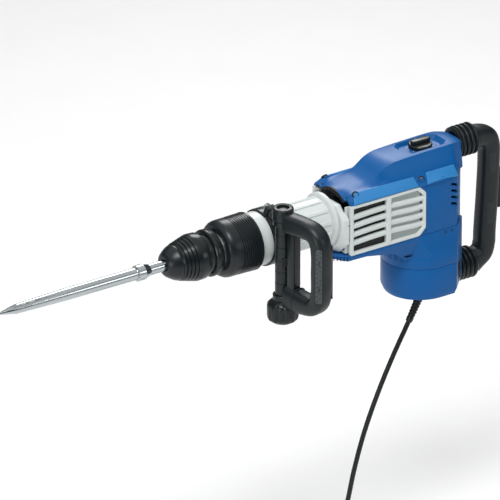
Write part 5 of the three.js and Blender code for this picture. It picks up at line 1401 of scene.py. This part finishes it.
def make_dial_marks():
    """Ticks that stand a little proud of the recess floor."""
    tick = block_shape((-0.55, 20.3, RECESS_FLOOR - 0.4), (0.55, 22.4, RECESS_FLOOR + 0.15))
    return copies("dial_ticks", RING, tick, PAD_PRINT, "top_hood", count=9, centre=DIAL_CENTRE,
                  axis=(0, 0, 1), first_angle=math.radians(60), angle_step=math.radians(27))


print("dial:", [p.name for p in (*make_dial(), make_dial_marks())])

# %% [markdown]
# ## Front handle
# A clamp band holds a post beside the barrel. The bow handle turns on the post, and the knob below locks it.
# The bow is one smooth loop: a rounded section swept along a curve. The soft insert in its grip has two
# rows of small dimples, one rounded bump in near-black, painted shade for the hollow, repeated by the row
# tree.
# %% Post, cap and knob
POST_X = centre_of("clamp_post", "x")
POST_Y = centre_of("clamp_post", "y")
POST_FOOT = (POST_X, POST_Y, 0)
POST_LOW, POST_HIGH = span("clamp_post", "z")
BOW_TURN = math.radians(-80)
BOW_PLACE = Matrix.Translation((POST_X, POST_Y, 0)) @ Matrix.Rotation(BOW_TURN, 4, "Z")


def make_post():
    profile = [(POST_LOW, 0), (POST_LOW, 12.1), (POST_LOW + 0.5, 12.5)]
    for z in (-54, -34, -14, 8, 28):
        profile += groove(z, 12.5, 0.8, (0.4, 1.1, 1.5))
    profile += [(POST_HIGH - 0.5, 12.5), (POST_HIGH, 12.1), (POST_HIGH, 0)]
    return add_piece("post_shell", turned_shape(profile, 64, POST_FOOT, "Z"), BLACK_SHELL, "clamp_post",
                     replace=True, crease=30)


def make_post_cap():
    low, high = span("post_cap", "z")
    profile = [(low, 0), (low, 16), (low + 0.8, 16.8), (low + 2, 17), (high - 2.4, 17), (high - 0.8, 16.4),
               (high, 15.2), (high, 10.6), (high - 0.8, 9.6), (high - 8, 9.4), (high - 8, 0)]
    cap = add_piece("post_cap_shell", turned_shape(profile, 96, POST_FOOT, "Z"), BLACK_SHELL, "post_cap",
                    replace=True)
    nut = bmesh.new()
    bmesh.ops.create_cone(nut, cap_ends=True, segments=6, radius1=8.6, radius2=8.2, depth=5.5)
    bmesh.ops.bevel(nut, geom=list(nut.edges), offset=0.7, segments=2, profile=0.5, affect="EDGES")
    move(nut, Matrix.Translation((POST_X, POST_Y, high - 5.4)))
    return cap, add_piece("post_cap_nut", nut, BLACK_SHELL, "post_cap")


def make_knob():
    """A fluted knob: the radius falls into a hollow twelve times round the rim."""
    low, high = span("handle_knob", "z")
    profile = [(low, 16.5), (low + 1.2, 18.2), (low + 4, 22.6), (low + 7, 24.4), (low + 10, 25),
               (high - 11, 25), (high - 7, 24.2), (high - 3.4, 20.6), (high - 1, 16.6), (high, 15)]
    segments, flutes = 192, 12
    shape = bmesh.new()
    rings = []
    for z, radius in profile:
        depth = 2.3 * min(1.0, max(0.0, (radius - 19) / 5)) * (1 if z < high - 8 else 0.4)
        ring = []
        for i in range(segments):
            angle = 2 * math.pi * i / segments
            r = radius - depth * max(0.0, math.cos(flutes * angle)) ** 1.5
            ring.append(shape.verts.new((POST_X + r * math.cos(angle), POST_Y + r * math.sin(angle), z)))
        rings.append(ring)
    join_rings(shape, rings)
    return add_piece("knob_shell", shape, BLACK_SHELL, "handle_knob", replace=True, crease=45)


print("post pieces:", [p.name for p in (make_post(), *make_post_cap(), make_knob())])


# %% The clamp band
def make_clamp():
    band = rounded_copy("clamp_band", BLACK_SHELL, 1.0, 3)
    place = Matrix.Translation((POST_X, POST_Y, -16)) @ Matrix.Rotation(math.radians(-12), 4, "Z")
    clip = block_shape((-8.5, -14.2, -6.5), (8.5, -12.2, 6.5), 1.0, 3, place)
    return band, add_piece("post_clip", clip, DEEP_BLACK, "clamp_band")


print("clamp:", [p.name for p in make_clamp()])

# %% The bow
BOW_REACH = 84.0
BOW_UPPER, BOW_LOWER = 52.0, -74.0
BOW_ROUND = 22.0


def bow_path():
    reach, top, bottom, r = BOW_REACH, BOW_UPPER, BOW_LOWER, BOW_ROUND
    return smooth_path([
        (14, 0, top), (reach - r - 14, 0, top + 1), (reach - r + 6, 0, top - 1), (reach - 5, 0, top - 10),
        (reach, 0, top - r - 8), (reach, 0, (top + bottom) / 2), (reach, 0, bottom + r + 8),
        (reach - 5, 0, bottom + 10), (reach - r + 6, 0, bottom + 1), (reach - r - 14, 0, bottom - 1),
        (14, 0, bottom)], 10)


def make_bow():
    def section(share):
        web = max(0.0, abs(share - 0.5) / 0.5 - 0.55) / 0.45
        lower = 6.5 if share > 0.5 else 2.0
        return rounded_box(16.2, 14.2 + lower * web, 2.7, 56)

    loop = move(swept_shape(bow_path(), section), BOW_PLACE)
    bar = block_shape((15.6, -8.6, BOW_LOWER - 6), (31.6, 8.6, BOW_UPPER - 4), 3.2, 4, BOW_PLACE)
    seam_path = [Vector((34 + k, 0, BOW_LOWER)) for k in (0, 0.9)]
    seam = move(swept_shape(seam_path, lambda share: rounded_box(16.6, 20.0, 2.7, 56)), BOW_PLACE)
    made = [add_piece("bow_loop", loop, SOFT_GRIP, "bow_handle", replace=True),
            add_piece("bow_bar", bar, BLACK_SHELL, "bow_handle"),
            add_piece("bow_seam", seam, DEEP_BLACK, "bow_handle")]
    for name, low in (("bow_hub_upper", POST_HIGH + 0.3), ("bow_hub_lower", POST_LOW - 9.3)):
        high = low + 9.0
        profile = [(low, 0), (low, 15.2), (low + 0.8, 16), (high - 0.8, 16), (high, 15.2), (high, 0)]
        made.append(add_piece(name, turned_shape(profile, 64, POST_FOOT, "Z"), BLACK_SHELL, "bow_handle"))
    return made


PAD_TURN = math.radians(30)


def make_grip_pad():
    middle = (BOW_UPPER + BOW_LOWER) / 2
    half = 46.0
    face = 16.85
    grip_centre = BOW_PLACE @ Matrix.Translation((BOW_REACH, 0, 0))
    outline = round_corners([(-5.2, -half), (5.2, -half), (5.2, half), (-5.2, half)], 4.8, 8)
    made = []
    for side, label in ((-1, "front"), (1, "rear")):
        turned = grip_centre @ Matrix.Rotation(-side * PAD_TURN, 4, "Z")
        place = turned @ side_place(side, 0, face - 0.6, middle)
        made.append(add_piece(f"grip_pad_{label}", plate_shape([outline], 1.6, 0.7, place), SOFT_INSET,
                              "bow_grip_pad", replace=label == "front"))
        # Each dimple is a low bump in near-black, painted shade for the hollow of a dimple.
        dimple = move(bump_shape(1.15, 0.45, 12), turned @ Matrix.Translation((0, side * (face + 0.25), 0)))
        direction = turned.to_3x3() @ Vector((1, 0, 0))
        made.append(copies(f"grip_dimples_{label}", ROW, dimple, DEEP_BLACK, "bow_grip_pad", count=22,
                           start=direction * -2.4 + Vector((0, 0, middle - 41)), step=(0, 0, 3.9),
                           odd_shift=direction * 4.8))
    return made


print("bow:", [p.name for p in (*make_bow(), *make_grip_pad())])

# %% [markdown]
# ## Rear handle
# The rear handle is a D of soft plastic on two dampers. It is swept like the bow, with a squarer section.
# Two patches of small dots on each side give grip, and a long rocker switch lies in its back.
# %% The grip
GRIP_UPPER, GRIP_LOWER = 66.0, -148.0
HANDLE_FRONT = span("upper_bellows", "x")[1] + 0.3


def grip_path():
    up, low = GRIP_UPPER, GRIP_LOWER
    return smooth_path([
        (HANDLE_FRONT, 0, up), (-24, 0, up), (-10, 0, up - 5), (-4, 0, up - 18), (-3, 0, up - 40),
        (-6, 0, (up + low) / 2), (-10, 0, low + 46), (-11, 0, low + 26), (-16, 0, low + 11),
        (-27, 0, low + 4), (HANDLE_FRONT, 0, low)], 10)


def make_rear_grip():
    def section(share):
        swell = abs(2 * share - 1) ** 4
        return rounded_box(15.6 + 2 * swell, 16.6 + 3 * swell, 2.9, 64)

    grip = add_piece("grip_shell", swept_shape(grip_path(), section), SOFT_GRIP, "rear_handle", replace=True)
    low, high = span("grip_switch", "z")
    back = span("grip_switch", "x")[1]
    outline = [(back - 14, low), (back - 5, low), (back - 1.2, low + 9), (back, low + 24), (back, high - 18),
               (back - 2, high - 6), (back - 6, high), (back - 14, high)]
    upright = Matrix.Rotation(math.pi / 2, 4, "X")
    rocker = add_piece("rocker", plate_shape([round_corners(outline, 3)], 15.0, 1.8, upright, 4), BLACK_SHELL,
                       "grip_switch", replace=True)
    return grip, rocker


def make_grip_dots():
    made = []
    for side, label in SIDES:
        for part, first_x, z in (("upper", -13.5, 2.0), ("lower", -16.5, -84.0)):
            for column in range(3):
                start = (first_x + 5.0 * column, side * 15.6, z)
                made.append(copies(f"grip_dots_{label}_{part}_{column}", ROW, bump_shape(1.0, 0.5, 10),
                                   SOFT_INSET, "rear_handle", count=14, start=start, step=(0, 0, 2.6),
                                   odd_shift=(2.5, 0, 0)))
    return made


print("rear grip:", [p.name for p in make_rear_grip()], len(make_grip_dots()), "dot rows")


# %% [markdown]
# On the machine the bellows fold up as the handle moves on its dampers, and the spring behind the locking
# sleeve shortens as the sleeve is pulled back. Here each is a piece with a mesh of its own that rides on
# the body of its solid.
# %% The bellows
# One fold of a bellows: how far along the fold, and how deep below its crest.
FOLD_PROFILE = [(0.06, 3.6), (0.14, 4.0), (0.24, 2.6), (0.36, 0.5), (0.48, 0.0), (0.62, 0.1), (0.76, 0.8),
                (0.9, 2.2)]


def make_bellows(node):
    front, rear = span(node, "x")
    centre = centre_of(node, "z")
    profile = [(front, 17), (front, 24.6), (front + 0.6, 25.2), (front + 2.2, 25.0)]
    folds = 4
    pitch = (rear - front - 4) / folds
    for i in range(folds):
        start = front + 2.4 + i * pitch
        profile += [(start + pitch * share, 26 - drop) for share, drop in FOLD_PROFILE]
    profile += [(rear - 1, 22), (rear, 22), (rear, 17)]
    skin = add_piece(node + "_skin", turned_shape(profile, 80, (0, 0, centre)), RUBBER, node, replace=True,
                     crease=50)
    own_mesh(skin)
    return skin


def make_sleeve_spring():
    spring = add_object("sleeve_spring_coil", NODES["sleeve_spring"].data.copy())
    carry(spring, "sleeve_spring")
    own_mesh(spring)
    return spring


print("bellows:", [make_bellows(node).name for node in ("upper_bellows", "lower_bellows")])
print("spring:", make_sleeve_spring().name)


# %% [markdown]
# ## Cord sleeve
# A tapered rubber sleeve keeps the cord from kinking where it leaves the motor cap. It is a turned shape
# with fine bending grooves, tilted to the way that the cord hangs.
# %% The sleeve
def make_boot():
    length = 62.0
    profile = [(0, 0), (0, 7.5), (3, 7.4)]
    for i in range(9):
        start = 10 + 5.2 * i
        profile += groove(start, 7.5 - 2.0 * start / length, 0.8, (0.5, 1.8, 2.3))
    profile += [(length - 1, 5.5), (length, 5.0), (length, 4.05), (length - 4, 4.02), (length - 4, 0)]
    turn = (BOOT_TIP - BOOT_ROOT).normalized().to_track_quat("Z", "Y").to_matrix().to_4x4()
    shape = move(turned_shape(profile, 48, axis="Z"), Matrix.Translation(BOOT_ROOT) @ turn)
    return add_piece("cord_sleeve", shape, RUBBER, "cord_boot", replace=True, crease=30)


print("sleeve:", make_boot().name)

# %% [markdown]
# ## Floor
# A large pale floor catches a soft shadow. It lies just under the coil.
# %% Floor
def make_floor():
    mesh = bpy.data.meshes.new("studio_floor")
    half = 6.0
    height = FLOOR_Z * MM - 0.001
    corners = [(-half, -half, height), (half, -half, height), (half, half, height), (-half, half, height)]
    mesh.from_pydata(corners, [], [(0, 1, 2, 3)])
    mesh.materials.append(FLOOR_FINISH)
    floor = add_object("studio_floor", mesh)
    return floor


make_floor()
